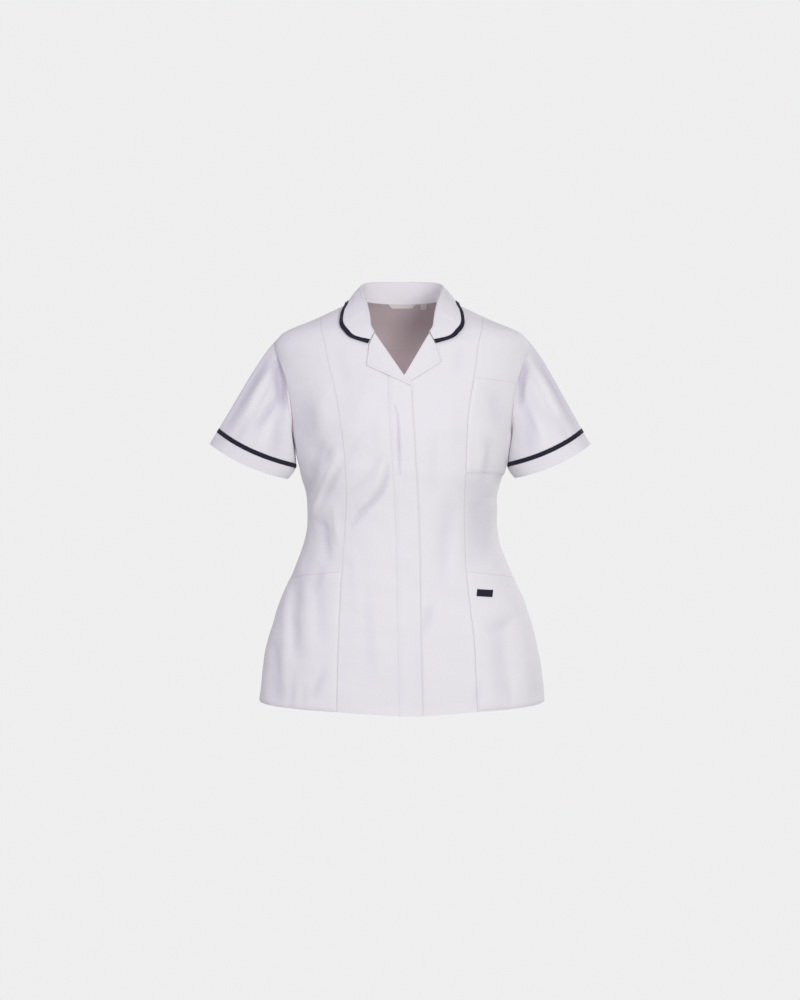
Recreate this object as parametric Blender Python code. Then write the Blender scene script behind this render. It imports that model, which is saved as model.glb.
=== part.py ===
"""A women's work tunic, filled out as if worn, with no wearer: every cut piece is a thin closed wall."""

import bmesh
import bpy
import numpy as np

# Sizes in metres. Right and left are the wearer's, front faces -Y, and the origin is the neck's centre.
WALL = 0.0010
SEAM_GAP = 0.0003
HALF_GAP = SEAM_GAP / 2
LAYER_GAP = 0.0005
BAND_WIDTH = 0.0075
CUFF_WIDTH = 0.023
REVERS_BOTTOM = 0.157
HEM_CENTRE = -0.6957
YOKE_SEAM = -0.080
SHOULDER_END = -0.066
COLLAR_LIFT = 0.0012
COLLAR_ROLL = 0.0026
COLLAR_SEAM = 0.0010
COLLAR_ROLL_SHARE = 0.42
COLLAR_FALL_SHARES = (0.3, 0.62)
SLEEVE_CLEARANCE = 0.0035
SLEEVE_PARTING = 1.5
TAB_CENTRE = (0.1355, -0.4960)
TAB_SIZE = (0.0262, 0.0115)
TAB_TILT = -0.09
TAB_WALL = 0.0010
LABEL_WALL = 0.0006
LABEL_FOOT = 0.0010
STEP = 0.0004
ANGLE_STEP = 0.01
SIDE_FADE = 0.03
RIGHT = -1
LEFT = 1

WHITE = (0.86, 0.85, 0.88)
NAVY = (0.012, 0.013, 0.030)
LABEL_GREY = (0.62, 0.60, 0.60)

# Rings of the worn shape, from above the neck to below the hem.
# height, half_width, front, back, squareness
BODY = (
    (0.045, 0.0560, 0.0340, 0.0600, 2.00),
    (0.000, 0.0714, 0.0480, 0.0660, 2.00),
    (-0.013, 0.1000, 0.0565, 0.0700, 2.00),
    (-0.035, 0.1470, 0.0700, 0.0790, 2.00),
    (-0.063, 0.2070, 0.0845, 0.0890, 2.05),
    (-0.080, 0.2160, 0.0910, 0.0940, 2.10),
    (-0.110, 0.2140, 0.0980, 0.1000, 2.15),
    (-0.150, 0.2070, 0.1080, 0.1040, 2.20),
    (-0.200, 0.1950, 0.1200, 0.1060, 2.20),
    (-0.235, 0.1860, 0.1255, 0.1050, 2.25),
    (-0.291, 0.1735, 0.1250, 0.1000, 2.25),
    (-0.342, 0.1615, 0.1195, 0.0950, 2.20),
    (-0.376, 0.1608, 0.1170, 0.0940, 2.20),
    (-0.410, 0.1650, 0.1165, 0.0970, 2.20),
    (-0.444, 0.1770, 0.1165, 0.1020, 2.20),
    (-0.478, 0.1910, 0.1170, 0.1070, 2.20),
    (-0.512, 0.2060, 0.1180, 0.1120, 2.20),
    (-0.546, 0.2170, 0.1195, 0.1160, 2.25),
    (-0.580, 0.2270, 0.1210, 0.1190, 2.25),
    (-0.614, 0.2340, 0.1225, 0.1210, 2.25),
    (-0.648, 0.2380, 0.1235, 0.1230, 2.30),
    (-0.690, 0.2420, 0.1240, 0.1240, 2.30),
    (-0.760, 0.2460, 0.1250, 0.1260, 2.30),
)

# Where each seam crosses the front: height, distance to the wearer's left of the centre.
NECKLINE = ((0.0, 0.0714), (-0.0065, 0.0678), (-0.0133, 0.0605), (-0.035, 0.0555), (-0.0586, 0.050),
            (-0.066, 0.0455))
RIGHT_EDGE = ((-0.103, 0.0195), (-0.155, 0.0195), (-0.25, 0.015), (-0.33, 0.010), (-0.41, 0.007),
              (-0.70, 0.0015))
LEFT_EDGE = ((-0.137, 0.003), (-0.168, -0.0175), (-0.25, -0.013), (-0.33, -0.008), (-0.41, -0.005),
             (-0.70, 0.0005))
PLACKET_EDGE = ((-0.02, 0.030), (-0.10, 0.024), (-0.155, 0.0165), (-0.25, 0.021), (-0.33, 0.026),
                (-0.41, 0.029), (-0.52, 0.031), (-0.70, 0.0345))
# How far the left front reaches under the placket: height, width.
UNDERLAP = ((0.0, 0.016), (-0.066, 0.016), (-0.155, 0.026), (-0.20, 0.034))
PRINCESS_RIGHT = ((-0.030, 0.1370), (-0.0543, 0.1351), (-0.0800, 0.1290), (-0.1267, 0.1192), (-0.160, 0.111),
                  (-0.207, 0.1025), (-0.262, 0.0955), (-0.330, 0.0920), (-0.380, 0.0935), (-0.443, 0.098),
                  (-0.527, 0.1025), (-0.595, 0.1050), (-0.700, 0.1072))
PRINCESS_LEFT = ((-0.030, 0.1370), (-0.0543, 0.1335), (-0.0800, 0.1275), (-0.1267, 0.1209), (-0.160, 0.1150),
                 (-0.210, 0.1079), (-0.292, 0.1050), (-0.375, 0.1037), (-0.457, 0.1055), (-0.518, 0.1121),
                 (-0.580, 0.1185), (-0.642, 0.1218), (-0.700, 0.1250))

# The armhole from the shoulder's end to the underarm: share of the way, angle round the body, height.
ARMHOLE_FRONT = ((0.00, 90.0, -0.066), (0.14, 81.5, -0.090), (0.28, 72.0, -0.115), (0.42, 67.8, -0.1425),
                 (0.56, 67.6, -0.168), (0.70, 69.6, -0.193), (0.82, 73.5, -0.2125), (0.92, 80.5, -0.228),
                 (1.00, 90.0, -0.235))
ARMHOLE_BACK = ((0.00, 90.0, -0.066), (0.10, 94.0, -0.080), (0.30, 108.0, -0.112), (0.50, 114.0, -0.147),
                (0.70, 113.0, -0.185), (0.85, 107.0, -0.212), (0.95, 98.0, -0.230), (1.00, 90.0, -0.235))

# Heights that the seams share, so that neighbours have the same points along them.
# centre, princess, armhole share, rows to the next, ease
UPPER_ROWS = (
    (0.000, -0.030, 0.00, 6, 2.0),
    (-0.066, -0.082, 0.22, 4, 1.0),
    (-0.140, -0.140, 0.44, 6, 1.0),
)
# centre, princess, side, back quarter, back centre, rows to the next
LOWER_ROWS = (
    (-0.225, -0.225, -0.235, -0.235, -0.235, 4),
    (-0.299, -0.299, -0.301, -0.301, -0.301, 4),
    (-0.376, -0.376, -0.376, -0.376, -0.376, 4),
    (-0.455, -0.460, -0.4766, -0.474, -0.472, 9),
    (HEM_CENTRE, -0.690, -0.681, -0.691, -0.695, 0),
)
FRONT_RIGHT_COLUMNS = (6,)
FRONT_LEFT_COLUMNS = (2, 6)
SIDE_FRONT_COLUMNS = (7,)
PLACKET_COLUMNS = (0.040, 0.034, 0.017, 0.0)
PLACKET_TOP_ROWS = 4
YOKE_ROWS = 3
YOKE_SHOULDER_COLUMNS = 7
YOKE_EASE = 1.7
YOKE_TIP = 0.10
YOKE_NECK_COLUMNS = 5
BACK_UPPER_ROWS = 6
SLEEVE_ROWS = 8
CUFF_ROWS = 2

# Largest folds: from x, from height, to x, to height, half width, rise (a trough is negative).
FRONT_FOLDS = (
    (-0.0262, -0.2800, -0.0860, -0.3840, 0.010, -0.0030),
    (-0.0279, -0.2500, -0.0620, -0.3300, 0.009, -0.0020),
    (-0.0440, -0.2950, -0.0920, -0.3500, 0.009, 0.0016),
    (-0.1100, -0.2450, -0.1480, -0.3500, 0.011, -0.0045),
    (-0.1040, -0.2700, -0.1500, -0.3700, 0.009, 0.0035),
    (-0.1190, -0.2950, -0.1230, -0.4500, 0.012, -0.0028),
    (-0.1690, -0.4800, -0.1760, -0.5950, 0.010, -0.0042),
    (-0.1900, -0.5000, -0.1930, -0.6300, 0.011, 0.0034),
    (-0.1500, -0.6100, -0.1510, -0.6700, 0.009, -0.0022),
    (-0.1270, -0.6200, -0.1400, -0.6900, 0.009, -0.0024),
    (0.0630, -0.3600, 0.0575, -0.5100, 0.015, -0.0018),
    (0.0470, -0.5100, 0.0360, -0.5600, 0.008, -0.0018),
    (0.1110, -0.2200, 0.1380, -0.3050, 0.010, -0.0026),
    (0.1420, -0.3150, 0.1250, -0.4300, 0.013, -0.0022),
    (0.1950, -0.5100, 0.2030, -0.6700, 0.018, 0.0026),
    (0.1600, -0.5600, 0.1660, -0.6800, 0.014, -0.0020),
)
BACK_FOLDS = (
    (-0.1280, -0.2950, -0.0350, -0.3520, 0.011, -0.0034),
    (0.1220, -0.2850, 0.0480, -0.3400, 0.010, -0.0030),
    (-0.1300, -0.3450, -0.0500, -0.3900, 0.010, 0.0026),
    (0.1320, -0.3300, 0.0380, -0.3930, 0.011, -0.0026),
    (-0.1050, -0.4700, -0.1260, -0.6700, 0.020, 0.0044),
    (0.1020, -0.4900, 0.1200, -0.6800, 0.022, 0.0040),
    (0.0040, -0.5000, 0.0080, -0.6850, 0.020, -0.0034),
    (-0.1700, -0.5200, -0.1800, -0.6700, 0.014, -0.0030),
    (0.1640, -0.5000, 0.1780, -0.6700, 0.015, -0.0028),
    (-0.1500, -0.1300, -0.1080, -0.2100, 0.013, -0.0024),
    (0.1450, -0.1400, 0.1100, -0.2200, 0.013, -0.0022),
)
# How much of its last column the chest pocket covers, beside the armhole and side seam, by height.
CHEST_REACH = ((-0.140, 0.75), (-0.190, 0.65), (-0.222, 0.02), (-0.246, 0.02), (-0.275, 0.80),
               (-0.301, 0.95))
# On a sleeve: from degrees round (0 top, 90 front), from share of length, to degrees, to share, width, rise.
SLEEVE_FOLDS = (
    (64.0, 0.02, 104.0, 0.62, 13.0, -0.0034),
    (40.0, 0.05, 62.0, 0.66, 14.0, 0.0026),
    (100.0, 0.10, 138.0, 0.55, 14.0, 0.0024),
    (292.0, 0.04, 262.0, 0.60, 15.0, -0.0030),
    (322.0, 0.08, 300.0, 0.70, 15.0, 0.0024),
    (236.0, 0.10, 226.0, 0.60, 14.0, -0.0022),
)

# Collar stations from the back's centre to the front end: angle and height of the neck seam.
COLLAR_NECK = ((180.0, -0.0080), (160.0, -0.0075), (140.0, -0.0060), (115.0, -0.0030), (90.0, 0.0),
               (70.0, -0.0010), (52.0, -0.0065), (36.9, -0.0133), (22.2, -0.0350), (14.4, -0.0586),
               (12.1, -0.0660))
# The same stations: x, y, height of the roll.
COLLAR_ROLL_LINE = (
    (0.0000, 0.0745, 0.0360),
    (0.0255, 0.0715, 0.0358),
    (0.0475, 0.0600, 0.0345),
    (0.0640, 0.0390, 0.0300),
    (0.0697, 0.0120, 0.0220),
    (0.0690, -0.0080, 0.0145),
    (0.0672, -0.0280, 0.0045),
    (0.0634, -0.0440, -0.0065),
    (0.0582, -0.0660, -0.0290),
    (0.0530, -0.0820, -0.0550),
    (0.0470, -0.0868, -0.0640),
)
# The same stations: angle and height of the collar's outer edge on the body.
COLLAR_EDGE = ((180.0, -0.0220), (160.0, -0.0220), (140.0, -0.0205), (115.0, -0.0150), (90.0, -0.0105),
               (72.0, -0.0130), (59.3, -0.0188), (38.8, -0.0423), (28.1, -0.0610), (22.6, -0.0736),
               (13.6, -0.0842))
COLLAR_STATIONS = 26
COLLAR_END = 9.97
# Labels on the stand: name, first and last station, height.
LABELS = (("neck_label", -0.95, 0.95, 0.0075), ("size_tab", 1.05, 1.95, 0.0080))

# Revers corners: x, height. The first three run down the roll, the last two down the outer edge.
REVERS_RIGHT = (
    (-0.0452, -0.0668),
    (0.0030, -0.1370),
    (0.0150, -0.1550),
    (-0.0541, -0.0855),
    (-0.0586, -0.1205),
)
REVERS_LEFT = (
    (0.0452, -0.0668),
    (0.0062, -0.1330),
    (0.0150, -0.1463),
    (0.0554, -0.0855),
    (0.0640, -0.1146),
)
REVERS_ROWS = 6
REVERS_COLUMNS = 4

# side, centre x, centre height, half length, half depth, how far the front and back droop
CUFFS = (
    (RIGHT, 0.2597, -0.2767, 0.0723, 0.047, 0.0080, 0.0040),
    (LEFT, 0.2556, -0.2760, 0.0701, 0.047, 0.0080, 0.0040),
)
CUFF_RISE = (0.911, 0.413)
CUFF_Y = -0.010
# How a sleeve leaves the armhole and reaches the cuff: degrees round, start x and z, end x and z.
SLEEVE_WAYS = (
    (0.0, 0.45, -0.38, 0.42, -0.66),
    (90.0, 0.52, -0.60, 0.45, -0.75),
    (180.0, -0.45, -1.20, 0.95, -0.85),
)
CURVE_POINTS = 60


def clear_scene():
    for thing in list(bpy.data.objects):
        bpy.data.objects.remove(thing)


def monotone(places, values):
    """A smooth curve through the points that never overshoots between them."""
    places = np.array(places, float)
    values = np.array(values, float)
    if places[0] > places[-1]:
        places = places[::-1]
        values = values[::-1]
    gaps = np.diff(places)
    rises = np.diff(values) / gaps
    slopes = np.zeros_like(values)
    slopes[0] = rises[0]
    slopes[-1] = rises[-1]
    before = 2 * gaps[1:] + gaps[:-1]
    after = gaps[1:] + 2 * gaps[:-1]
    for k in range(1, len(values) - 1):
        if rises[k - 1] * rises[k] > 0:
            weights = before[k - 1] + after[k - 1]
            slopes[k] = weights / (before[k - 1] / rises[k - 1] + after[k - 1] / rises[k])

    def curve(at):
        at = np.clip(at, places[0], places[-1])
        k = np.clip(np.searchsorted(places, at) - 1, 0, len(places) - 2)
        t = (at - places[k]) / gaps[k]
        ends = values[k] * (1 + 2 * t) * (1 - t) ** 2 + values[k + 1] * t * t * (3 - 2 * t)
        return ends + gaps[k] * (slopes[k] * t * (1 - t) ** 2 + slopes[k + 1] * t * t * (t - 1))

    return curve


def column(table, k):
    return [row[k] for row in table]


def table_curve(table, k):
    return monotone(column(table, 0), column(table, k))


half_width = table_curve(BODY, 1)
front_depth = table_curve(BODY, 2)
back_depth = table_curve(BODY, 3)
squareness = table_curve(BODY, 4)


def unit(vectors):
    return vectors / np.maximum(np.linalg.norm(vectors, axis=-1, keepdims=True), 1e-12)


def fold_rise(x, height, folds, ends=0.6):
    """Soft troughs and ridges: each fold fades towards its ends and across its width."""
    total = np.zeros(np.shape(x))
    for x0, z0, x1, z1, width, rise in folds:
        way = np.array([x1 - x0, z1 - z0])
        length = way @ way
        share = np.clip(((x - x0) * way[0] + (height - z0) * way[1]) / length, 0.0, 1.0)
        away = np.hypot(x - x0 - share * way[0], height - z0 - share * way[1])
        total = total + rise * np.sin(np.pi * (0.12 + 0.76 * share)) ** ends * np.exp(-((away / width) ** 2))
    return total


def ring_point(angle, height):
    """A point of the worn shape: angle 0 at the front, 90 degrees at the wearer's left side."""
    power = 2.0 / squareness(height)
    sine = np.sin(angle)
    cosine = np.cos(angle)
    depth = np.where(cosine > 0, front_depth(height), back_depth(height))
    x = half_width(height) * np.sign(sine) * np.abs(sine) ** power
    y = -depth * np.sign(cosine) * np.abs(cosine) ** power
    return np.stack([x, y, height + 0.0 * x], axis=-1)


def normals_of(surface, angle, height):
    around = surface(angle + ANGLE_STEP, height) - surface(angle - ANGLE_STEP, height)
    up = surface(angle, height + STEP) - surface(angle, height - STEP)
    return unit(np.cross(around, up))


def cloth_point(angle, height):
    """The outer face of the cloth, with its largest folds."""
    base = ring_point(angle, height)
    near_front = np.clip(-base[..., 1] / SIDE_FADE, 0.0, 1.0)
    near_back = np.clip(base[..., 1] / SIDE_FADE, 0.0, 1.0)
    front = fold_rise(base[..., 0], height, FRONT_FOLDS) * near_front
    back = fold_rise(base[..., 0], height, BACK_FOLDS) * near_back
    return base + normals_of(ring_point, angle, height) * (front + back)[..., None]


def cloth(angle, height, lift=0.0):
    """Points and normals of the cloth's outer face, moved out by lift."""
    angle = np.asarray(angle, float)
    height = np.asarray(height, float) + 0.0 * angle
    normals = normals_of(cloth_point, angle, height)
    return cloth_point(angle, height) + normals * lift, normals


def angle_at(x, height):
    """The angle at which the front of the body has this x."""
    share = np.clip(np.abs(x) / half_width(height), 0.0, 1.0)
    return np.sign(x) * np.arcsin(share ** (squareness(height) / 2.0))


def spread(start, end, count, ease=1.0):
    return [start + (end - start) * (k / count) ** ease for k in range(count)]


def shared_heights():
    """Heights of every row at the centre, at the princess seam, along the armhole and below it."""
    rows = {"centre": [], "princess": [], "armhole": [], "side": [], "quarter": [], "back": []}
    after = UPPER_ROWS[1:] + (LOWER_ROWS[0][:2] + (1.0,),)
    for start, end in zip(UPPER_ROWS, after):
        count, ease = start[3:]
        rows["centre"] += spread(start[0], end[0], count, ease)
        rows["princess"] += spread(start[1], end[1], count, ease)
        rows["armhole"] += spread(start[2], end[2], count)
    for start, end in zip(LOWER_ROWS, LOWER_ROWS[1:]):
        for k, name in enumerate(("centre", "princess", "side", "quarter", "back")):
            rows[name] += spread(start[k], end[k], start[5])
    for k, name in enumerate(("centre", "princess", "side", "quarter", "back")):
        rows[name].append(LOWER_ROWS[-1][k])
    return {name: np.array(values) for name, values in rows.items()}


ROWS = shared_heights()
UPPER_COUNT = len(ROWS["armhole"])
POCKET_TOP = sum(row[3] for row in UPPER_ROWS[:2])
POCKET_BOTTOM = UPPER_COUNT + LOWER_ROWS[0][5]
HIP_TOP = UPPER_COUNT + sum(row[5] for row in LOWER_ROWS[:3])


def rail(table, heights, side):
    """A seam as angles and heights. Its first point lies on the shoulder ridge."""
    x = monotone(column(table, 0), column(table, 1))(heights)
    angles = angle_at(side * x, heights)
    angles[0] = side * np.pi / 2 if heights[0] > -0.05 else angles[0]
    return angles, heights


def side_rail(table, side, start=0.0):
    """The armhole from the share at start to the underarm, then the side seam down to the hem."""
    if start:
        shares = np.linspace(start, 1.0, BACK_UPPER_ROWS + 1)[:-1]
    else:
        shares = ROWS["armhole"]
    angles = np.radians(table_curve(table, 1)(shares))
    heights = table_curve(table, 2)(shares)
    below = ROWS["side"]
    angles = np.concatenate([angles, np.full(len(below), np.pi / 2)])
    return side * angles, np.concatenate([heights, below])


def across(rails, columns):
    """Angles and heights of a grid whose columns run between successive rails."""
    angles = [rails[0][0][:, None]]
    heights = [rails[0][1][:, None]]
    for first, second, count in zip(rails, rails[1:], columns):
        shares = np.arange(1, count + 1) / count
        angles.append(first[0][:, None] + (second[0] - first[0])[:, None] * shares)
        heights.append(first[1][:, None] + (second[1] - first[1])[:, None] * shares)
    return np.hstack(angles), np.hstack(heights)


def drawn_in(points, normals, top=HALF_GAP, bottom=HALF_GAP, first=HALF_GAP, last=HALF_GAP):
    """Moves the border of a grid into its own cloth, so that neighbours stay apart at the seam."""
    down = np.gradient(points, axis=0)
    along = np.gradient(points, axis=1)
    moved = points.copy()
    for tangent, border, inner, gap in (
        (along, np.s_[0, :], np.s_[1, :], top),
        (along, np.s_[-1, :], np.s_[-2, :], bottom),
        (down, np.s_[:, 0], np.s_[:, 1], first),
        (down, np.s_[:, -1], np.s_[:, -2], last),
    ):
        inward = unit(np.cross(normals[border], tangent[border]))
        facing = np.sum(inward * (points[inner] - points[border]), axis=-1, keepdims=True)
        moved[border] += inward * np.where(facing < 0, -gap, gap)
    return moved


def material(name, colour, roughness=0.75):
    made = bpy.data.materials.new(name)
    made.use_nodes = True
    shader = made.node_tree.nodes["Principled BSDF"]
    shader.inputs["Base Color"].default_value = (*colour, 1.0)
    shader.inputs["Roughness"].default_value = roughness
    shader.inputs["Metallic"].default_value = 0.0
    return made


def rims(rows, columns, tube):
    """The borders of a grid as closed runs of row and column."""
    if tube:
        return [[(0, j) for j in range(columns)], [(rows - 1, j) for j in range(columns)]]
    run = [(0, j) for j in range(columns)]
    run += [(i, columns - 1) for i in range(1, rows)]
    run += [(rows - 1, j) for j in range(columns - 2, -1, -1)]
    run += [(i, 0) for i in range(rows - 2, 0, -1)]
    return [run]


def wall(name, outer, normals, colour, thickness=WALL, tube=False):
    """A closed wall between a grid of points and the same grid moved in along its normals."""
    rows, columns = outer.shape[:2]
    shell = bmesh.new()
    inner = outer - normals * thickness
    skins = [[[shell.verts.new(p) for p in row] for row in skin] for skin in (outer, inner)]
    for i in range(rows - 1):
        for j in range(columns if tube else columns - 1):
            k = (j + 1) % columns
            for skin in skins:
                shell.faces.new((skin[i][j], skin[i + 1][j], skin[i + 1][k]))
                shell.faces.new((skin[i][j], skin[i + 1][k], skin[i][k]))
    for run in rims(rows, columns, tube):
        for (i, j), (m, n) in zip(run, run[1:] + run[:1]):
            shell.faces.new((skins[0][i][j], skins[0][m][n], skins[1][m][n]))
            shell.faces.new((skins[0][i][j], skins[1][m][n], skins[1][i][j]))
    bmesh.ops.recalc_face_normals(shell, faces=shell.faces)
    mesh = bpy.data.meshes.new(name)
    shell.to_mesh(mesh)
    shell.free()
    mesh.shade_smooth()
    mesh.set_sharp_from_angle(angle=np.radians(60.0))
    mesh.materials.append(material(name, colour))
    thing = bpy.data.objects.new(name, mesh)
    bpy.context.scene.collection.objects.link(thing)
    return thing


def panel(name, rails, columns, colour=WHITE):
    points, normals = cloth(*across(rails, columns))
    wall(name, drawn_in(points, normals), normals, colour)


def make_fronts():
    centre, princess = ROWS["centre"], ROWS["princess"]
    right_edge = rail(NECKLINE + RIGHT_EDGE, centre, RIGHT)
    left_edge = rail(NECKLINE + LEFT_EDGE, centre, LEFT)
    under = table_curve(UNDERLAP, 1)(centre)
    above = centre > -REVERS_BOTTOM
    strip_x = np.where(above, ring_point(*left_edge)[:, 0] + under, table_curve(PLACKET_EDGE, 1)(centre))
    strip = angle_at(strip_x, centre)
    strip[0] = np.pi / 2
    strip_heights = centre.copy()
    strip_heights[0] = UPPER_ROWS[0][1] * 0.25
    seam_right = rail(PRINCESS_RIGHT, princess, RIGHT)
    seam_left = rail(PRINCESS_LEFT, princess, LEFT)
    panel("front_right", (seam_right, right_edge), FRONT_RIGHT_COLUMNS)
    panel("front_left", (left_edge, (strip, strip_heights), seam_left), FRONT_LEFT_COLUMNS)
    panel("side_front_right", (side_rail(ARMHOLE_FRONT, RIGHT), seam_right), SIDE_FRONT_COLUMNS)
    panel("side_front_left", (seam_left, side_rail(ARMHOLE_FRONT, LEFT)), SIDE_FRONT_COLUMNS)


def roll_height(x):
    """Height of the right roll line, which runs straight from the collar's end to the placket's top."""
    (x0, z0), (x1, z1) = REVERS_RIGHT[0], REVERS_RIGHT[1]
    return z0 + (z1 - z0) * (x - x0) / (x1 - x0)


def make_placket():
    centre = ROWS["centre"]
    shared = centre[centre < -REVERS_BOTTOM - 0.01]
    edge = table_curve(PLACKET_EDGE, 1)
    x = []
    heights = []
    for inset in PLACKET_COLUMNS:
        top = roll_height(edge(-REVERS_BOTTOM) - inset)
        levels = np.concatenate([spread(top, shared[0], PLACKET_TOP_ROWS), shared])
        x.append(edge(np.minimum(levels, -REVERS_BOTTOM)) - inset)
        heights.append(levels)
    x, heights = np.array(x).T, np.array(heights).T
    points, normals = cloth(angle_at(x, heights), heights, LAYER_GAP + WALL)
    wall("front_placket", drawn_in(points, normals), normals, WHITE)


def make_revers():
    shares = np.linspace(0.0, 1.0, REVERS_ROWS + 1)
    for name, corners, lift in (
        ("revers_right", REVERS_RIGHT, 2 * LAYER_GAP + 2 * WALL),
        ("revers_left", REVERS_LEFT, LAYER_GAP + WALL),
    ):
        gorge, crossing, tip, notch, corner = (np.array(p) for p in corners)
        straight = np.linalg.norm(crossing - gorge)
        bend = straight / (straight + np.linalg.norm(tip - crossing))
        stops = np.array((0.0, bend, 1.0))
        corners_down = np.stack([gorge, crossing, tip], axis=-1)
        roll = np.stack([np.interp(shares, stops, places) for places in corners_down], axis=-1)
        outer = notch + (corner - notch) * shares[:, None]
        sideways = np.linspace(0.0, 1.0, REVERS_COLUMNS + 1)[None, :, None]
        flat = roll[:, None] + (outer - roll)[:, None] * sideways
        points, normals = cloth(angle_at(flat[..., 0], flat[..., 1]), flat[..., 1], lift)
        wall(name, points, normals, WHITE)


def back_angles():
    """Angles of the back's columns at the yoke seam, from the wearer's left armhole to the centre."""
    tip = np.radians(table_curve(ARMHOLE_BACK, 1)(YOKE_TIP))
    reach = half_width(YOKE_SEAM) * np.sin(tip) ** (2 / squareness(YOKE_SEAM))
    shares = np.linspace(0.0, 1.0, YOKE_SHOULDER_COLUMNS + 1)[1:] ** YOKE_EASE
    widths = reach + (half_width(0.0) - reach) * shares
    widths = np.concatenate([widths, np.linspace(half_width(0.0), 0.0, YOKE_NECK_COLUMNS + 1)[1:]])
    return np.concatenate([[tip], np.pi - np.abs(angle_at(widths, YOKE_SEAM))])


def whole_back(half):
    """Both halves of the back from its left half, in order round the body."""
    angles, heights = half
    return (np.hstack([angles, 2 * np.pi - angles[:, -2::-1]]), np.hstack([heights, heights[:, -2::-1]]))


def make_back():
    low = back_angles()
    shoulder = np.linspace(SHOULDER_END, 0.0, YOKE_SHOULDER_COLUMNS + 1)
    neck_angles = np.linspace(90.0, 180.0, YOKE_NECK_COLUMNS + 1)[1:]
    neck_heights = monotone(column(COLLAR_NECK[:5], 0), column(COLLAR_NECK[:5], 1))(neck_angles)
    top = np.concatenate([np.full(len(shoulder), np.pi / 2), np.radians(neck_angles)])
    top_heights = np.concatenate([shoulder, neck_heights])
    share = np.linspace(0.0, 1.0, YOKE_ROWS + 1)[:, None]
    yoke = whole_back((top + (low - top) * share, top_heights + (YOKE_SEAM - top_heights) * share**2))
    points, normals = cloth(*yoke)
    wall("back_yoke", drawn_in(points, normals), normals, WHITE)

    side_angles, side_heights = side_rail(ARMHOLE_BACK, LEFT, YOKE_TIP)
    fractions = (np.pi - low) / (np.pi - low[0])
    angles = np.pi - (np.pi - side_angles)[:, None] * fractions
    level = np.linspace(YOKE_SEAM, ROWS["side"][0], BACK_UPPER_ROWS + 1)[:-1]
    quarter = np.concatenate([level, ROWS["quarter"]])
    centre = np.concatenate([level, ROWS["back"]])
    outer_half = quarter[:, None] + (side_heights - quarter)[:, None] * (2 * fractions - 1)
    inner_half = centre[:, None] + (quarter - centre)[:, None] * 2 * fractions
    heights = np.where(fractions > 0.5, outer_half, inner_half)
    points, normals = cloth(*whole_back((angles, heights)))
    wall("back_body", drawn_in(points, normals), normals, WHITE)


def out_of_body(points, wanted):
    """Moves points that are nearer to the body's rings than wanted straight out to that distance."""
    def level(p):
        depth = np.where(p[..., 1] < 0, front_depth(p[..., 2]), back_depth(p[..., 2]))
        power = squareness(p[..., 2])
        share = np.abs(p[..., 0] / half_width(p[..., 2])) ** power + np.abs(p[..., 1] / depth) ** power
        return share ** (1 / power) - 1

    for _ in range(3):
        rises = [level(points + STEP * way) - level(points - STEP * way) for way in np.eye(3)]
        slope = np.stack(rises, axis=-1) / (2 * STEP)
        steepness = np.linalg.norm(slope, axis=-1)
        short = np.maximum(wanted - level(points) / steepness, 0.0)
        points = points + slope / steepness[..., None] * short[..., None]
    return points


def armhole_loop(side):
    """The armhole's points and body normals: down the front from the shoulder's end, then up the back."""
    front = side_rail(ARMHOLE_FRONT, side)
    front = (front[0][: UPPER_COUNT + 1], front[1][: UPPER_COUNT + 1])
    back = side_rail(ARMHOLE_BACK, side, YOKE_TIP)
    back = (back[0][:BACK_UPPER_ROWS][::-1], back[1][:BACK_UPPER_ROWS][::-1])
    share = np.linspace(0.0, 1.0, YOKE_ROWS + 1)[1:-1][::-1]
    tip = np.radians(table_curve(ARMHOLE_BACK, 1)(YOKE_TIP))
    yoke_angles = side * (np.pi / 2 + (tip - np.pi / 2) * share)
    yoke_heights = SHOULDER_END + (YOKE_SEAM - SHOULDER_END) * share**2
    angles = np.concatenate([front[0], back[0], yoke_angles])
    heights = np.concatenate([front[1], back[1], yoke_heights])
    points, normals = cloth(angles, heights)
    along = np.roll(points, -1, axis=0) - np.roll(points, 1, axis=0)
    away = unit(np.cross(normals, along))
    centre = points.mean(axis=0)
    inward = np.sum(away * (centre - points), axis=-1, keepdims=True)
    return points + away * np.sign(inward) * HALF_GAP, normals


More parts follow.
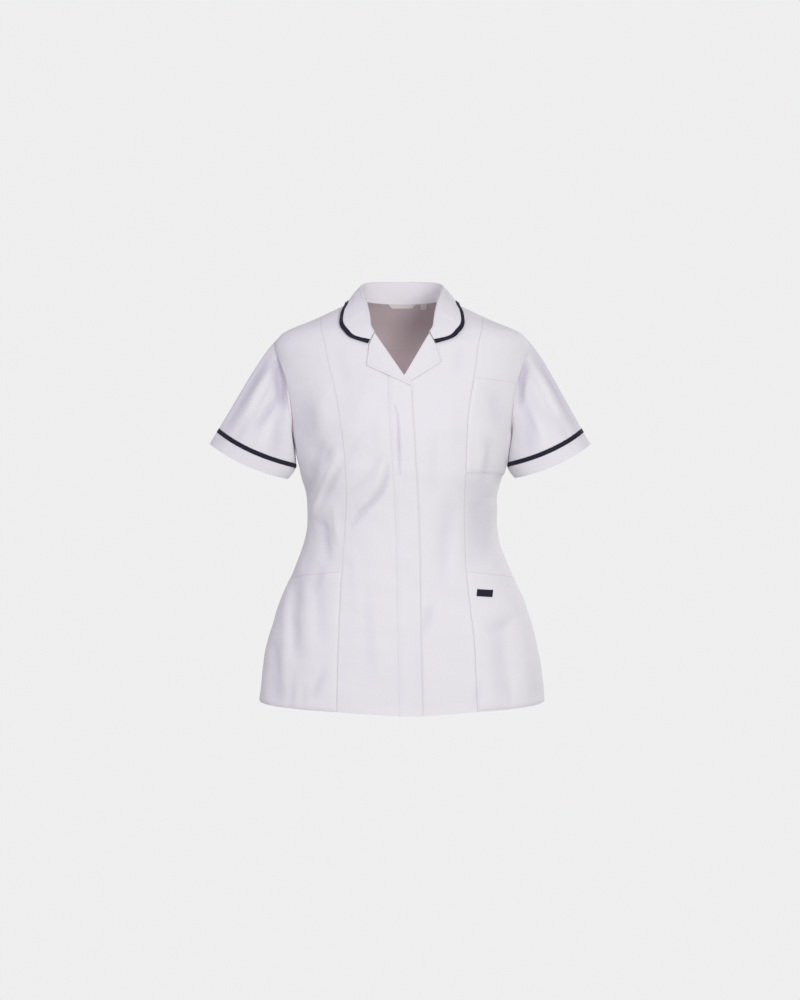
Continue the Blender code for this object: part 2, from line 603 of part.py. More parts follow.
def sleeve_curves(side, count):
    """Fine curves from the armhole to the sleeve's hem, with the degrees round of each."""
    start, normals = armhole_loop(side)
    steps = np.linalg.norm(np.diff(start, axis=0), axis=1)
    walked = np.concatenate([[0.0], np.cumsum(steps)])
    under = UPPER_COUNT
    whole = walked[-1] + np.linalg.norm(start[0] - start[-1])
    degrees = np.where(walked <= walked[under], 180.0 * walked / walked[under],
                       180.0 + 180.0 * (walked - walked[under]) / (whole - walked[under]))
    row = next(row for row in CUFFS if row[0] == side)
    _, centre_x, centre_z, half_length, half_depth, front_droop, back_droop = row
    turn = np.radians(degrees)
    rise_x, rise_z = CUFF_RISE
    droop = np.where(degrees < 180, front_droop, back_droop) * np.sin(turn) ** 2
    end = np.stack([
        side * (centre_x + half_length * np.cos(turn) * rise_x + droop * rise_z),
        CUFF_Y - half_depth * np.sin(turn),
        centre_z + half_length * np.cos(turn) * rise_z - droop * rise_x,
    ], axis=-1)
    length = np.linalg.norm(end - start, axis=1)
    folded = 180.0 - np.abs(180.0 - degrees)
    ways = [table_curve(SLEEVE_WAYS, k)(folded) * length for k in range(1, 5)]
    leave = np.stack([side * ways[0], 0 * length, ways[1]], axis=-1)
    reach = np.stack([side * ways[2], 0 * length, ways[3]], axis=-1)
    t = np.linspace(0.0, 1.0, count)[:, None, None]
    curves = start * (1 + 2 * t) * (1 - t) ** 2 + end * t * t * (3 - 2 * t)
    curves = curves + leave * t * (1 - t) ** 2 + reach * t * t * (t - 1)
    wanted = np.minimum(SLEEVE_CLEARANCE, SLEEVE_PARTING * length * t[..., 0])
    return out_of_body(curves, wanted), degrees, normals


def along_curves(curves, places):
    """Points of each curve at the given distances from its start, rows by curves."""
    steps = np.linalg.norm(np.diff(curves, axis=0), axis=2)
    walked = np.vstack([np.zeros(steps.shape[1]), np.cumsum(steps, axis=0)])
    made = np.empty(places.shape + (3,))
    for j in range(curves.shape[1]):
        for axis in range(3):
            made[:, j, axis] = np.interp(places[:, j], walked[:, j], curves[:, j, axis])
    return made


def tube_normals(points):
    around = np.roll(points, -1, axis=1) - np.roll(points, 1, axis=1)
    down = np.gradient(points, axis=0)
    normals = unit(np.cross(around, down))
    middle = points.mean(axis=1, keepdims=True)
    return normals * np.sign(np.sum(normals * (points - middle)))


def make_sleeves():
    for side, word in ((RIGHT, "right"), (LEFT, "left")):
        curves, degrees, body_normals = sleeve_curves(side, CURVE_POINTS)
        lengths = np.linalg.norm(np.diff(curves, axis=0), axis=2).sum(axis=0)
        main = lengths - CUFF_WIDTH - BAND_WIDTH
        places = [main * k / SLEEVE_ROWS for k in range(SLEEVE_ROWS + 1)]
        places += [lengths - CUFF_WIDTH]
        places += [lengths - CUFF_WIDTH + CUFF_WIDTH * k / CUFF_ROWS for k in range(1, CUFF_ROWS + 1)]
        places = np.array(places)
        points = along_curves(curves, places)
        normals = tube_normals(points)
        rise = fold_rise(degrees + 0 * places, 100.0 * places / lengths,
                         [(a, 100 * b, c, 100 * d, e, f) for a, b, c, d, e, f in SLEEVE_FOLDS])
        points[1:] += normals[1:] * rise[1:, :, None]
        normals = tube_normals(points)
        same = np.sum(normals[0] * body_normals, axis=-1, keepdims=True) > 0.5
        normals[0] = np.where(same, body_normals, normals[0])
        down = unit(np.gradient(points, axis=0)) * HALF_GAP
        cut = SLEEVE_ROWS
        for name, top, bottom, colour in (
            ("sleeve", 0, cut, WHITE),
            ("sleeve_piping", cut, cut + 1, NAVY),
            ("cuff", cut + 1, cut + 1 + CUFF_ROWS, WHITE),
        ):
            grid = points[top : bottom + 1].copy()
            grid[0] += down[top] if top else 0.0
            grid[-1] -= down[bottom]
            wall(f"{name}_{word}", grid, normals[top : bottom + 1], colour, tube=True)


def collar_profiles(stations):
    """Profiles from neck seam over the roll to the outer edge, one for each station, as middle points."""
    index = np.arange(len(COLLAR_NECK))
    ways = np.sign(stations)
    k = np.abs(stations)
    neck_angle = np.radians(monotone(index, column(COLLAR_NECK, 0))(k)) * np.where(ways < 0, -1, 1)
    neck_height = monotone(index, column(COLLAR_NECK, 1))(k)
    neck, body_out = cloth(neck_angle, neck_height)
    edge_angle = np.radians(monotone(index, column(COLLAR_EDGE, 0))(k)) * np.where(ways < 0, -1, 1)
    edge_height = monotone(index, column(COLLAR_EDGE, 1))(k)
    edge, _ = cloth(edge_angle, edge_height, COLLAR_LIFT + WALL / 2)
    roll = np.stack([monotone(index, column(COLLAR_ROLL_LINE, axis))(k) for axis in range(3)], axis=-1)
    roll[:, 0] *= np.where(ways < 0, -1, 1)
    # The neck seam sits just inside the neckline, clear of the panels' edges.
    beside = unit(np.gradient(neck, axis=0))
    inside = unit(np.cross(body_out, beside))
    hole = np.array([0.0, 0.0, 0.02]) - neck
    inside = inside * np.sign(np.sum(inside * hole, axis=-1, keepdims=True))
    neck = neck + inside * (COLLAR_SEAM + WALL / 2)
    up = unit(roll - neck)
    out = edge - roll
    out = unit(out - up * np.sum(out * up, axis=-1, keepdims=True))
    stand = np.linalg.norm(roll - neck, axis=-1, keepdims=True)
    radius = np.minimum(COLLAR_ROLL, stand * COLLAR_ROLL_SHARE)
    turns = np.radians((-90.0, -45.0, 0.0, 45.0, 90.0))
    profile = [roll + (out * np.sin(turn) - up * (1 - np.cos(turn))) * radius for turn in turns]
    profile = [neck, (neck + profile[0]) / 2] + profile
    last = profile[-1]
    profile += [last + (edge - last) * share for share in COLLAR_FALL_SHARES]
    band = unit(edge - last) * BAND_WIDTH
    profile += [edge - band, edge]
    profile = np.array(profile)
    profile[6:] = out_of_body(profile[6:], COLLAR_LIFT + WALL / 2)
    return profile


def make_collar():
    stations = np.linspace(-COLLAR_END, COLLAR_END, COLLAR_STATIONS + 1)
    middle = collar_profiles(stations)
    around = np.gradient(middle, axis=1)
    across_way = np.gradient(middle, axis=0)
    normals = unit(np.cross(around, across_way))
    normals *= np.sign(normals[0, COLLAR_STATIONS // 2, 1])
    outer = middle + normals * WALL / 2
    step = unit(outer[-1] - outer[-2]) * HALF_GAP
    fall = outer[:-1].copy()
    fall[-1] -= step
    band = outer[-2:].copy()
    band[0] += step
    wall("collar", fall, normals[:-1], WHITE)
    wall("collar_piping", band, normals[-2:], NAVY)
    return stations, middle


def sub_panel(name, rails, columns, top, bottom, lift, insets, reach=1.0):
    """A pocket: the points of the panel below it, moved out. Reach shortens its last column."""
    angles, heights = across(rails, columns)
    points, normals = cloth(angles[top : bottom + 1], heights[top : bottom + 1], lift)
    for grid in (points, normals):
        grid[:, -1] = grid[:, -2] + (grid[:, -1] - grid[:, -2]) * reach
    wall(name, drawn_in(points, unit(normals), *insets), unit(normals), WHITE)


def make_pockets():
    princess = ROWS["princess"]
    left = (rail(PRINCESS_LEFT, princess, LEFT), side_rail(ARMHOLE_FRONT, LEFT))
    right = (side_rail(ARMHOLE_FRONT, RIGHT), rail(PRINCESS_RIGHT, princess, RIGHT))
    lift = LAYER_GAP + WALL
    last = len(princess) - 1
    heights = left[1][1][POCKET_TOP : POCKET_BOTTOM + 1]
    reach = table_curve(CHEST_REACH, 1)(heights)[:, None]
    chest_insets = (0.0, 0.0005, 0.0006, 0.0)
    hip_insets = (0.0, HALF_GAP, 0.0006, 0.0006)
    sub_panel("chest_pocket", left, SIDE_FRONT_COLUMNS, POCKET_TOP, POCKET_BOTTOM, lift, chest_insets, reach)
    sub_panel("hip_pocket_right", right, SIDE_FRONT_COLUMNS, HIP_TOP, last, lift, hip_insets)
    sub_panel("hip_pocket_left", left, SIDE_FRONT_COLUMNS, HIP_TOP, last, lift, hip_insets)


def make_tab():
    """The blank tab on the left hip pocket."""
    along = np.linspace(-0.5, 0.5, 4)[None, :] * TAB_SIZE[0]
    down = np.linspace(0.5, -0.5, 3)[:, None] * TAB_SIZE[1]
    x = TAB_CENTRE[0] + along - TAB_TILT * down
    heights = TAB_CENTRE[1] + down + TAB_TILT * along
    points, normals = cloth(angle_at(x, heights), heights, 2 * LAYER_GAP + WALL + TAB_WALL)
    wall("pocket_tab", points, normals, NAVY, thickness=TAB_WALL)


def make_labels(stations, middle):
    """Two blank labels on the inside of the collar's stand, low at the back neck."""
    for name, start, end, depth in LABELS:
        inside = stations[(stations > start) & (stations < end)]
        places = np.concatenate([[start], inside, [end]])
        low_row, high_row = (
            np.stack([np.interp(places, stations, values) for values in row.T], axis=-1)
            for row in middle[:2]
        )
        up = unit(high_row - low_row)
        inward = unit(np.cross(up, np.gradient(low_row, axis=0)))
        inward = inward * np.sign(-np.sum(inward * low_row, axis=-1, keepdims=True))
        face = low_row + inward * (WALL / 2 + LAYER_GAP + LABEL_WALL) + up * LABEL_FOOT
        grid = np.array([face + up * depth, face])
        wall(name, grid, np.array([inward, inward]), LABEL_GREY, thickness=LABEL_WALL)


clear_scene()
make_fronts()
make_placket()
make_revers()
make_back()
make_sleeves()
make_labels(*make_collar())
make_pockets()
make_tab()
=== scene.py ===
# %% [markdown]
# A work tunic in white cloth with navy bands, filled out as if worn.
# A garment is best built in the order in which it is sewn: panels first, then what lies on them,
# then sleeves, collar and trimmings, and the thread at the very end.
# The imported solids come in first, because every piece has to sit where its solid sits.

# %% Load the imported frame
import bmesh
import bpy
import numpy as np
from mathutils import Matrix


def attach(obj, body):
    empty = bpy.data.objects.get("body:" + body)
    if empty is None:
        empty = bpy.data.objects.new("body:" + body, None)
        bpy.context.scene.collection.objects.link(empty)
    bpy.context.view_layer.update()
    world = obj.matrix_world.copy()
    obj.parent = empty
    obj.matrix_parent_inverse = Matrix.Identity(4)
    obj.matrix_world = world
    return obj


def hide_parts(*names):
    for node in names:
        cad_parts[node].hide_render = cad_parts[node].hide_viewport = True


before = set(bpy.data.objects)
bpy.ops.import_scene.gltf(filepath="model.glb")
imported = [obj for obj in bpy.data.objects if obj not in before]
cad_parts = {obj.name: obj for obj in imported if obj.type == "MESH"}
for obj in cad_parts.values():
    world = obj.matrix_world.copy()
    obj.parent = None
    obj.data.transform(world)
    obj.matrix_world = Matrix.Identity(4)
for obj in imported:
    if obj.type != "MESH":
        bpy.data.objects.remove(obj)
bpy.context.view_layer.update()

# %% [markdown]
# Cloth can be drawn as many loose shapes, or as one worn form from which every panel is cut.
# One form is the better choice: two panels that share a seam then share its points, so they meet
# everywhere, and a crease that crosses a seam runs on without a step.
# The form is a stack of rounded rings. Each row below gives one ring.

# %% Sizes of the worn form, in metres
RIGHT = -1
LEFT = 1
CLOTH = 0.0007
SEAM_GAP = 0.0003
LAYER_GAP = 0.0005
SOLID_WALL = 0.0010
BAND_WIDTH = 0.0075
CUFF_WIDTH = 0.023
HEM_CENTRE = -0.6957
YOKE_SEAM = -0.080
SHOULDER_END = -0.066
FINE = 6

# height, half_width, front, back, squareness
BODY = (
    (0.045, 0.0560, 0.0340, 0.0600, 2.00),
    (0.000, 0.0714, 0.0480, 0.0660, 2.00),
    (-0.013, 0.1000, 0.0565, 0.0700, 2.00),
    (-0.035, 0.1470, 0.0700, 0.0790, 2.00),
    (-0.063, 0.2070, 0.0845, 0.0890, 2.05),
    (-0.080, 0.2160, 0.0910, 0.0940, 2.10),
    (-0.110, 0.2140, 0.0980, 0.1000, 2.15),
    (-0.150, 0.2070, 0.1080, 0.1040, 2.20),
    (-0.200, 0.1950, 0.1200, 0.1060, 2.20),
    (-0.235, 0.1860, 0.1255, 0.1050, 2.25),
    (-0.291, 0.1735, 0.1250, 0.1000, 2.25),
    (-0.342, 0.1615, 0.1195, 0.0950, 2.20),
    (-0.376, 0.1608, 0.1170, 0.0940, 2.20),
    (-0.410, 0.1650, 0.1165, 0.0970, 2.20),
    (-0.444, 0.1770, 0.1165, 0.1020, 2.20),
    (-0.478, 0.1910, 0.1170, 0.1070, 2.20),
    (-0.512, 0.2060, 0.1180, 0.1120, 2.20),
    (-0.546, 0.2170, 0.1195, 0.1160, 2.25),
    (-0.580, 0.2270, 0.1210, 0.1190, 2.25),
    (-0.614, 0.2340, 0.1225, 0.1210, 2.25),
    (-0.648, 0.2380, 0.1235, 0.1230, 2.30),
    (-0.690, 0.2420, 0.1240, 0.1240, 2.30),
    (-0.760, 0.2460, 0.1250, 0.1260, 2.30),
)


def metres(rows):
    """A table that is written in millimetres, in metres."""
    return tuple(tuple(value / 1000 for value in row) for row in rows)


print("rings:", len(BODY))

# %% [markdown]
# Seams are lines on that form. Each is a short table of height and distance from the front's centre,
# written in millimetres because a tailor's rule is.
# An armhole turns round the shoulder instead, so it is written as a share of the way down,
# degrees round the body and height.

# %% Seam lines
NECKLINE = metres((
    (0, 71.4), (-6.5, 67.8), (-13.3, 60.5), (-35, 55.5), (-58.6, 50), (-66, 45.5),
))
RIGHT_EDGE = metres((
    (-72, 42.2), (-82, 35.3), (-92, 28.5), (-100, 23.2), (-106, 20.5), (-115, 19.5), (-155, 19.5),
    (-250, 15), (-330, 10), (-410, 7), (-700, 1.5),
))
LEFT_EDGE = metres((
    (-137, 3), (-168, -17.5), (-250, -13), (-330, -8), (-410, -5), (-700, 0.5),
))
PLACKET_EDGE = metres((
    (-20, 30), (-100, 24), (-155, 16.5), (-250, 21), (-330, 26), (-410, 29), (-520, 31), (-700, 34.5),
))
UNDERLAP = metres((
    (0, 16), (-66, 16), (-155, 26), (-200, 34),
))
PRINCESS_RIGHT = metres((
    (-30, 137), (-54.3, 135.1), (-80, 129), (-126.7, 119.2), (-160, 111), (-207, 102.5), (-262, 95.5),
    (-330, 92), (-380, 93.5), (-443, 98), (-527, 102.5), (-595, 105), (-700, 107.2),
))
PRINCESS_LEFT = metres((
    (-30, 137), (-54.3, 133.5), (-80, 127.5), (-126.7, 120.9), (-160, 115), (-210, 107.9), (-292, 105),
    (-375, 103.7), (-457, 105.5), (-518, 112.1), (-580, 118.5), (-642, 121.8), (-700, 125),
))
ARMHOLE_FRONT = ((0.00, 90.0, -0.066), (0.14, 81.5, -0.090), (0.28, 72.0, -0.115), (0.42, 67.8, -0.1425),
                 (0.56, 67.6, -0.168), (0.70, 69.6, -0.193), (0.82, 73.5, -0.2125), (0.92, 80.5, -0.228),
                 (1.00, 90.0, -0.235))
ARMHOLE_BACK = ((0.00, 90.0, -0.066), (0.10, 94.0, -0.080), (0.30, 108.0, -0.112), (0.50, 114.0, -0.147),
                (0.70, 113.0, -0.185), (0.85, 107.0, -0.212), (0.95, 98.0, -0.230), (1.00, 90.0, -0.235))
# Corners of each revers, x and height: the roll's start, its crossing and its tip, the notch, the corner
REVERS_RIGHT = metres((
    (-45.2, -66.8), (3, -137), (15, -155), (-54.1, -85.5), (-58.6, -120.5),
))
REVERS_LEFT = metres((
    (45.2, -66.8), (6.2, -133), (15, -146.3), (55.4, -85.5), (64, -114.6),
))
# Rows that all panels share. centre, princess, armhole share, rows to the next, ease
UPPER_ROWS = (
    (0.000, -0.030, 0.00, 6, 2.0),
    (-0.066, -0.082, 0.22, 4, 1.0),
    (-0.140, -0.140, 0.44, 6, 1.0),
)
# centre, princess, side, back quarter, back centre, rows to the next
LOWER_ROWS = (
    (-0.225, -0.225, -0.235, -0.235, -0.235, 4),
    (-0.299, -0.299, -0.301, -0.301, -0.301, 4),
    (-0.376, -0.376, -0.376, -0.376, -0.376, 4),
    (-0.455, -0.460, -0.4766, -0.474, -0.472, 9),
    (HEM_CENTRE, -0.690, -0.681, -0.691, -0.695, 0),
)
print("armhole points:", len(ARMHOLE_FRONT) + len(ARMHOLE_BACK))

# %% [markdown]
# Creases tell the eye that this is cloth. They could come from a simulation, but the real ones are few
# and each has its own place, so they are laid one by one: a line, a width, and how far it rises or sinks.
# The large ones are also in the solids. The fine ones are only here.

# %% Creases
# x and height of each point along it, then half width and rise (a trough is negative)
FRONT_FOLDS = metres((
    # Right side front: a sharp ridge under the arm between two troughs, then one soft pair at the waist.
    (-118.5, -257.5, -131.9, -281.9, 6, -3.2), (-106, -268, -130, -320, -152, -366, 5.2, 3.6),
    (-106.9, -296, -136.9, -343.7, 6.8, -3.8), (-131.9, -373.7, -123.6, -437.2, 8, -3.4),
    (-111.9, -360.4, -106, -408.8, 7, 2.4), (-135, -250, -162, -340, 10, -3.6),
    (-160, -175, -150, -245, 20, -4.6), (-125, -150, -140, -230, 16, 2.6),
    # Right front: the long diagonal that starts at the bust.
    (-25, -288, -27.2, -308, -35, -329, -50, -347, -68, -364, -85, -386, 5, -5),
    (-33, -286, -42, -314, -70, -350, 6.5, 2.6), (-26.4, -261.3, -52.7, -300.8, -82.4, -333.8, 7.5, -1.8),
    (-56, -130, -76, -230, 18, 2.2), (-42, -200, -30, -270, 12, 1.6),
    # Right hip.
    (-173, -475, -180, -535, -175, -595, 11, -3.8), (-190, -500, -195, -630, 10, 3),
    (-156, -500, -153, -610, 12, 2.2), (-211, -590, -206, -670, 11, -3),
    (-128, -624, -147, -666, 6.5, -2.8), (-138, -470, -134, -570, 12, -1.8),
    # Left side.
    (78, -350, 68, -470, 17, -2.6), (85, -390, 82, -470, 12, 1.2), (47.6, -514, 37.4, -556, 7, -2.4),
    (125, -234, 133, -262, 130, -296, 8, 2.6), (142, -250, 138, -305, 9, -3),
    (130, -310, 124, -430, 24, -3.6), (195, -510, 203, -670, 18, 3), (145, -556, 206, -532, 10, -2.2),
    (160, -560, 166, -680, 14, -2.4), (70, -150, 82, -260, 17, 2), (150, -160, 162, -220, 15, -2.6),
    # The fine ones, which the solids do without.
    (-13.2, -188, -8.4, -204, -6.6, -225, -5.8, -260, -5.2, -302, 2.7, -3.6),
    (-7, -195, -1, -230, 1, -270, 5, 1.2), (-65, -230, -101, -290, 7, -1), (-60, -500, -50, -630, 9, -1.2),
    (-82, -430, -70, -520, 9, 1), (56, -230, 50, -330, 10, -1), (-130, -450, -150, -500, 8, -1.4),
    (148, -370, 140, -440, 8, -0.8), (150, -335, 120, -360, 7, -0.8), (-152, -370, -118, -395, 6, -1.2),
    (218, -560, 222, -675, 8, -1.4), (25, -590, 31, -670, 9, -1), (-108, -95, -90, -150, 10, -1),
    (100, -90, 86, -135, 10, -1), (130, -635, 122, -685, 6, -1.6), (175, -640, 180, -685, 6, -1.4),
    (-180, -635, -184, -685, 6, -1.6), (-160, -650, -164, -686, 5, -1.2),
))
BACK_FOLDS = metres((
    (-128, -285, -80, -325, -35, -342, 8, -3.6), (-118, -305, -65, -348, -30, -358, 8, 2.8),
    (122, -278, 85, -315, 45, -333, 8, -3.4), (120, -300, 76, -340, 38, -350, 8, 2.6),
    (-130, -345, -50, -390, 9, -3), (132, -340, 38, -393, 10, -2.8), (-105, -470, -126, -670, 20, 5.2),
    (102, -490, 120, -680, 22, 4.8), (4, -500, 8, -685, 20, -4.4), (-50, -520, -60, -670, 14, -2.6),
    (54, -530, 60, -660, 14, 2.2), (-170, -520, -180, -670, 14, -3.6), (164, -500, 178, -670, 15, -3.4),
    (-150, -120, -130, -165, -108, -230, 11, -3.6), (-130, -130, -95, -210, 11, 2.2),
    (145, -125, 128, -170, 110, -235, 11, -3.4), (128, -135, 96, -215, 11, 2),
    (-40, -120, -30, -230, 20, -1.8), (45, -110, 35, -210, 20, -1.6),
    # The fine ones, which the solids do without.
    (-90, -275, -15, -298, 6, -1.4), (95, -268, 20, -292, 6, -1.2), (-145, -380, -90, -415, 7, -1.6),
    (140, -385, 90, -420, 7, -1.4), (30, -410, 42, -480, 8, -1.2), (-28, -420, -40, -490, 8, -1.2),
    (-130, -635, -126, -685, 6, -1.4), (90, -640, 94, -688, 6, -1.4), (-20, -645, -22, -690, 6, -1.2),
))
# The same on a sleeve: degrees round it (0 top, 90 front) and hundredths of its length
SLEEVE_FOLDS = (
    (44, 16, 56, 62, 9, 0.004), (66, 18, 70, 46, 5, 0.0016), (18, 10, 30, 80, 15, -0.005),
    (104, 16, 122, 66, 10, -0.003), (95, 40, 100, 80, 9, 0.002), (58, 55, 62, 90, 7, -0.0016),
    (322, 6, 298, 8, 274, 5, 6.5, -0.005), (318, 16, 300, 56, 9, 0.0032), (284, 16, 274, 58, 7, -0.003),
    (236, 10, 226, 60, 14, -0.0026), (330, 42, 318, 84, 8, -0.0024), (262, 45, 256, 88, 8, -0.0016),
)
# The fold that starts at each armhole, sharper and forked on the right
ARMHOLE_FOLDS = {
    RIGHT: ((40.0, 3.5, 66.0, 7.5, 97.0, 13.0, 8.0, -0.0115), (85.0, 18.0, 79.0, 56.0, 5.5, -0.0044)),
    LEFT: ((43.0, 2.0, 76.0, 6.0, 100.0, 12.0, 5.0, -0.0080), (96.0, 22.0, 98.0, 60.0, 6.0, -0.0022)),
}
# Slow uneven waves all over: turns round the body, waves to the metre, phase, rise
WAVES = ((5.0, 11.0, 0.4, 0.00030), (9.0, -7.0, 2.1, 0.00025), (14.0, 19.0, 4.0, 0.00016),
         (3.0, 27.0, 1.2, 0.00014))
print("creases:", len(FRONT_FOLDS + BACK_FOLDS + SLEEVE_FOLDS))

# %% [markdown]
# The form needs curves through those tables. A plain spline would swing past the numbers between them,
# so this one picks slopes that never overshoot. Everything works on whole arrays at once, because a
# panel has tens of thousands of points.

# %% Curves through a table
def monotone(places, values):
    """A smooth curve through the points that never overshoots between them."""
    places = np.array(places, float)
    values = np.array(values, float)
    if places[0] > places[-1]:
        places = places[::-1]
        values = values[::-1]
    gaps = np.diff(places)
    rises = np.diff(values) / gaps
    slopes = np.zeros_like(values)
    slopes[0] = rises[0]
    slopes[-1] = rises[-1]
    before = 2 * gaps[1:] + gaps[:-1]
    after = gaps[1:] + 2 * gaps[:-1]
    for k in range(1, len(values) - 1):
        if rises[k - 1] * rises[k] > 0:
            weights = before[k - 1] + after[k - 1]
            slopes[k] = weights / (before[k - 1] / rises[k - 1] + after[k - 1] / rises[k])

    def curve(at):
        at = np.clip(at, places[0], places[-1])
        k = np.clip(np.searchsorted(places, at) - 1, 0, len(places) - 2)
        t = (at - places[k]) / gaps[k]
        ends = values[k] * (1 + 2 * t) * (1 - t) ** 2 + values[k + 1] * t * t * (3 - 2 * t)
        return ends + gaps[k] * (slopes[k] * t * (1 - t) ** 2 + slopes[k + 1] * t * t * (t - 1))

    return curve


def column(table, k):
    return [row[k] for row in table]


def table_curve(table, k):
    return monotone(column(table, 0), column(table, k))


def unit(vectors):
    return vectors / np.maximum(np.linalg.norm(vectors, axis=-1, keepdims=True), 1e-12)


def smooth(t):
    t = np.clip(t, 0.0, 1.0)
    return t * t * (3 - 2 * t)


half_width = table_curve(BODY, 1)
front_depth = table_curve(BODY, 2)
back_depth = table_curve(BODY, 3)
squareness = table_curve(BODY, 4)
print("width at the waist:", round(2 * float(half_width(-0.376)), 4))

# %% [markdown]
# A point of the cloth comes from an angle round the body and a height. The creases push it in or out
# along the form's own direction, and fade to nothing at the sides, where front and back tables meet.

# %% The cloth's outer face
ANGLE_STEP = 0.01
STEP = 0.0004
SIDE_FADE = 0.03
FOLD_ENDS = 0.6
RIPPLE_START = 0.03
RIPPLE_FADE = 0.08


def fold_rise(x, height, folds):
    """Soft troughs and ridges: each fold fades towards its ends and across its width."""
    total = np.zeros(np.shape(x))
    for *places, width, rise in folds:
        places = np.reshape(places, (-1, 2))
        runs = np.concatenate([[0.0], np.cumsum(np.linalg.norm(np.diff(places, axis=0), axis=1))])
        nearest = np.full(np.shape(x), np.inf)
        share = np.zeros(np.shape(x))
        for (x0, z0), (x1, z1), start, stop in zip(places, places[1:], runs, runs[1:]):
            way = np.array([x1 - x0, z1 - z0])
            part = np.clip(((x - x0) * way[0] + (height - z0) * way[1]) / (way @ way), 0.0, 1.0)
            away = np.hypot(x - x0 - part * way[0], height - z0 - part * way[1])
            share = np.where(away < nearest, (start + part * (stop - start)) / runs[-1], share)
            nearest = np.minimum(nearest, away)
        fade = np.sin(np.pi * (0.08 + 0.84 * share)) ** FOLD_ENDS
        total = total + rise * fade * np.exp(-((nearest / width) ** 2))
    return total


def ring_point(angle, height):
    """A point of the worn shape: angle 0 at the front, 90 degrees at the wearer's left side."""
    power = 2.0 / squareness(height)
    sine = np.sin(angle)
    cosine = np.cos(angle)
    depth = np.where(cosine > 0, front_depth(height), back_depth(height))
    x = half_width(height) * np.sign(sine) * np.abs(sine) ** power
    y = -depth * np.sign(cosine) * np.abs(cosine) ** power
    return np.stack([x, y, height + 0.0 * x], axis=-1)


def normals_of(surface, angle, height):
    around = surface(angle + ANGLE_STEP, height) - surface(angle - ANGLE_STEP, height)
    up = surface(angle, height + STEP) - surface(angle, height - STEP)
    return unit(np.cross(around, up))


def waves(angle, height):
    total = 0.0
    for turns, metres_run, phase, rise in WAVES:
        total = total + rise * np.sin(turns * angle + 2 * np.pi * metres_run * height + phase)
    return total


def body_rise(points):
    """Rise of the body's creases. The front's and the back's both fade out at the sides."""
    x, y, height = np.moveaxis(points, -1, 0)
    front = fold_rise(x, height, FRONT_FOLDS) * np.clip(-y / SIDE_FADE, 0.0, 1.0)
    back = fold_rise(x, height, BACK_FOLDS) * np.clip(y / SIDE_FADE, 0.0, 1.0)
    return front + back


def cloth_point(angle, height):
    """The outer face of the cloth, with all its folds."""
    base = ring_point(angle, height)
    ripple = waves(angle, height) * smooth(-(height + RIPPLE_START) / RIPPLE_FADE)
    return base + normals_of(ring_point, angle, height) * (body_rise(base) + ripple)[..., None]


def cloth(angle, height, lift=0.0):
    """Points and normals of the cloth's outer face, moved out by lift."""
    angle = np.asarray(angle, float)
    height = np.asarray(height, float) + 0.0 * angle
    normals = normals_of(cloth_point, angle, height)
    return cloth_point(angle, height) + normals * np.asarray(lift)[..., None], normals


def angle_at(x, height):
    """The angle at which the front of the body has this x."""
    share = np.clip(np.abs(x) / half_width(height), 0.0, 1.0)
    return np.sign(x) * np.arcsin(share ** (squareness(height) / 2.0))


print("front centre at the chest:", cloth(0.0, -0.235)[0].round(4))

# %% [markdown]
# A panel is a grid. Its rows follow shared heights and its first and last columns follow seams.
# The solids use few rows. Here each gap between two rows is cut in six, so creases come out round.

# %% Rows, rails and grids
LEVELS = ("centre", "princess", "side", "quarter", "back")


def spread(start, end, count, ease=1.0):
    return [start + (end - start) * (k / count) ** ease for k in range(count)]


def fine(values):
    """The same run of values with more steps between them."""
    places = np.arange((len(values) - 1) * FINE + 1) / FINE
    return np.interp(places, np.arange(len(values)), values)


def shared_heights():
    """Heights of every row at the centre, at the princess seam, along the armhole and below it."""
    rows = {name: [] for name in LEVELS + ("armhole",)}
    after = UPPER_ROWS[1:] + (LOWER_ROWS[0][:2] + (1.0,),)
    for start, end in zip(UPPER_ROWS, after):
        count, ease = start[3:]
        rows["centre"] += spread(start[0], end[0], count, ease)
        rows["princess"] += spread(start[1], end[1], count, ease)
        rows["armhole"] += spread(start[2], end[2], count)
    rows["armhole"].append(1.0)
    for start, end in zip(LOWER_ROWS, LOWER_ROWS[1:]):
        for k, name in enumerate(LEVELS):
            rows[name] += spread(start[k], end[k], start[5])
    for name, lowest in zip(LEVELS, LOWER_ROWS[-1]):
        rows[name].append(lowest)
    return {name: fine(values) for name, values in rows.items()}


ROWS = shared_heights()
UPPER_COUNT = len(ROWS["armhole"]) - 1
BACK_UPPER_ROWS = 6 * FINE
POCKET_TOP = sum(row[3] for row in UPPER_ROWS[:2]) * FINE
POCKET_BOTTOM = UPPER_COUNT + LOWER_ROWS[0][5] * FINE
HIP_TOP = UPPER_COUNT + sum(row[5] for row in LOWER_ROWS[:3]) * FINE


def rail(table, side, heights=ROWS["centre"]):
    """A seam as angles and heights. Its first point lies on the shoulder ridge."""
    angles = angle_at(side * table_curve(table, 1)(heights), heights)
    if heights[0] > -0.05:
        angles[0] = side * np.pi / 2
    return angles, heights


def side_rail(table, side, start=0.0):
    """The armhole from the share at start to the underarm, then the side seam down to the hem."""
    shares = np.linspace(start, 1.0, BACK_UPPER_ROWS + 1)[:-1] if start else ROWS["armhole"][:-1]
    below = ROWS["side"]
    angles = np.concatenate([np.radians(table_curve(table, 1)(shares)), np.full(len(below), np.pi / 2)])
    return side * angles, np.concatenate([table_curve(table, 2)(shares), below])


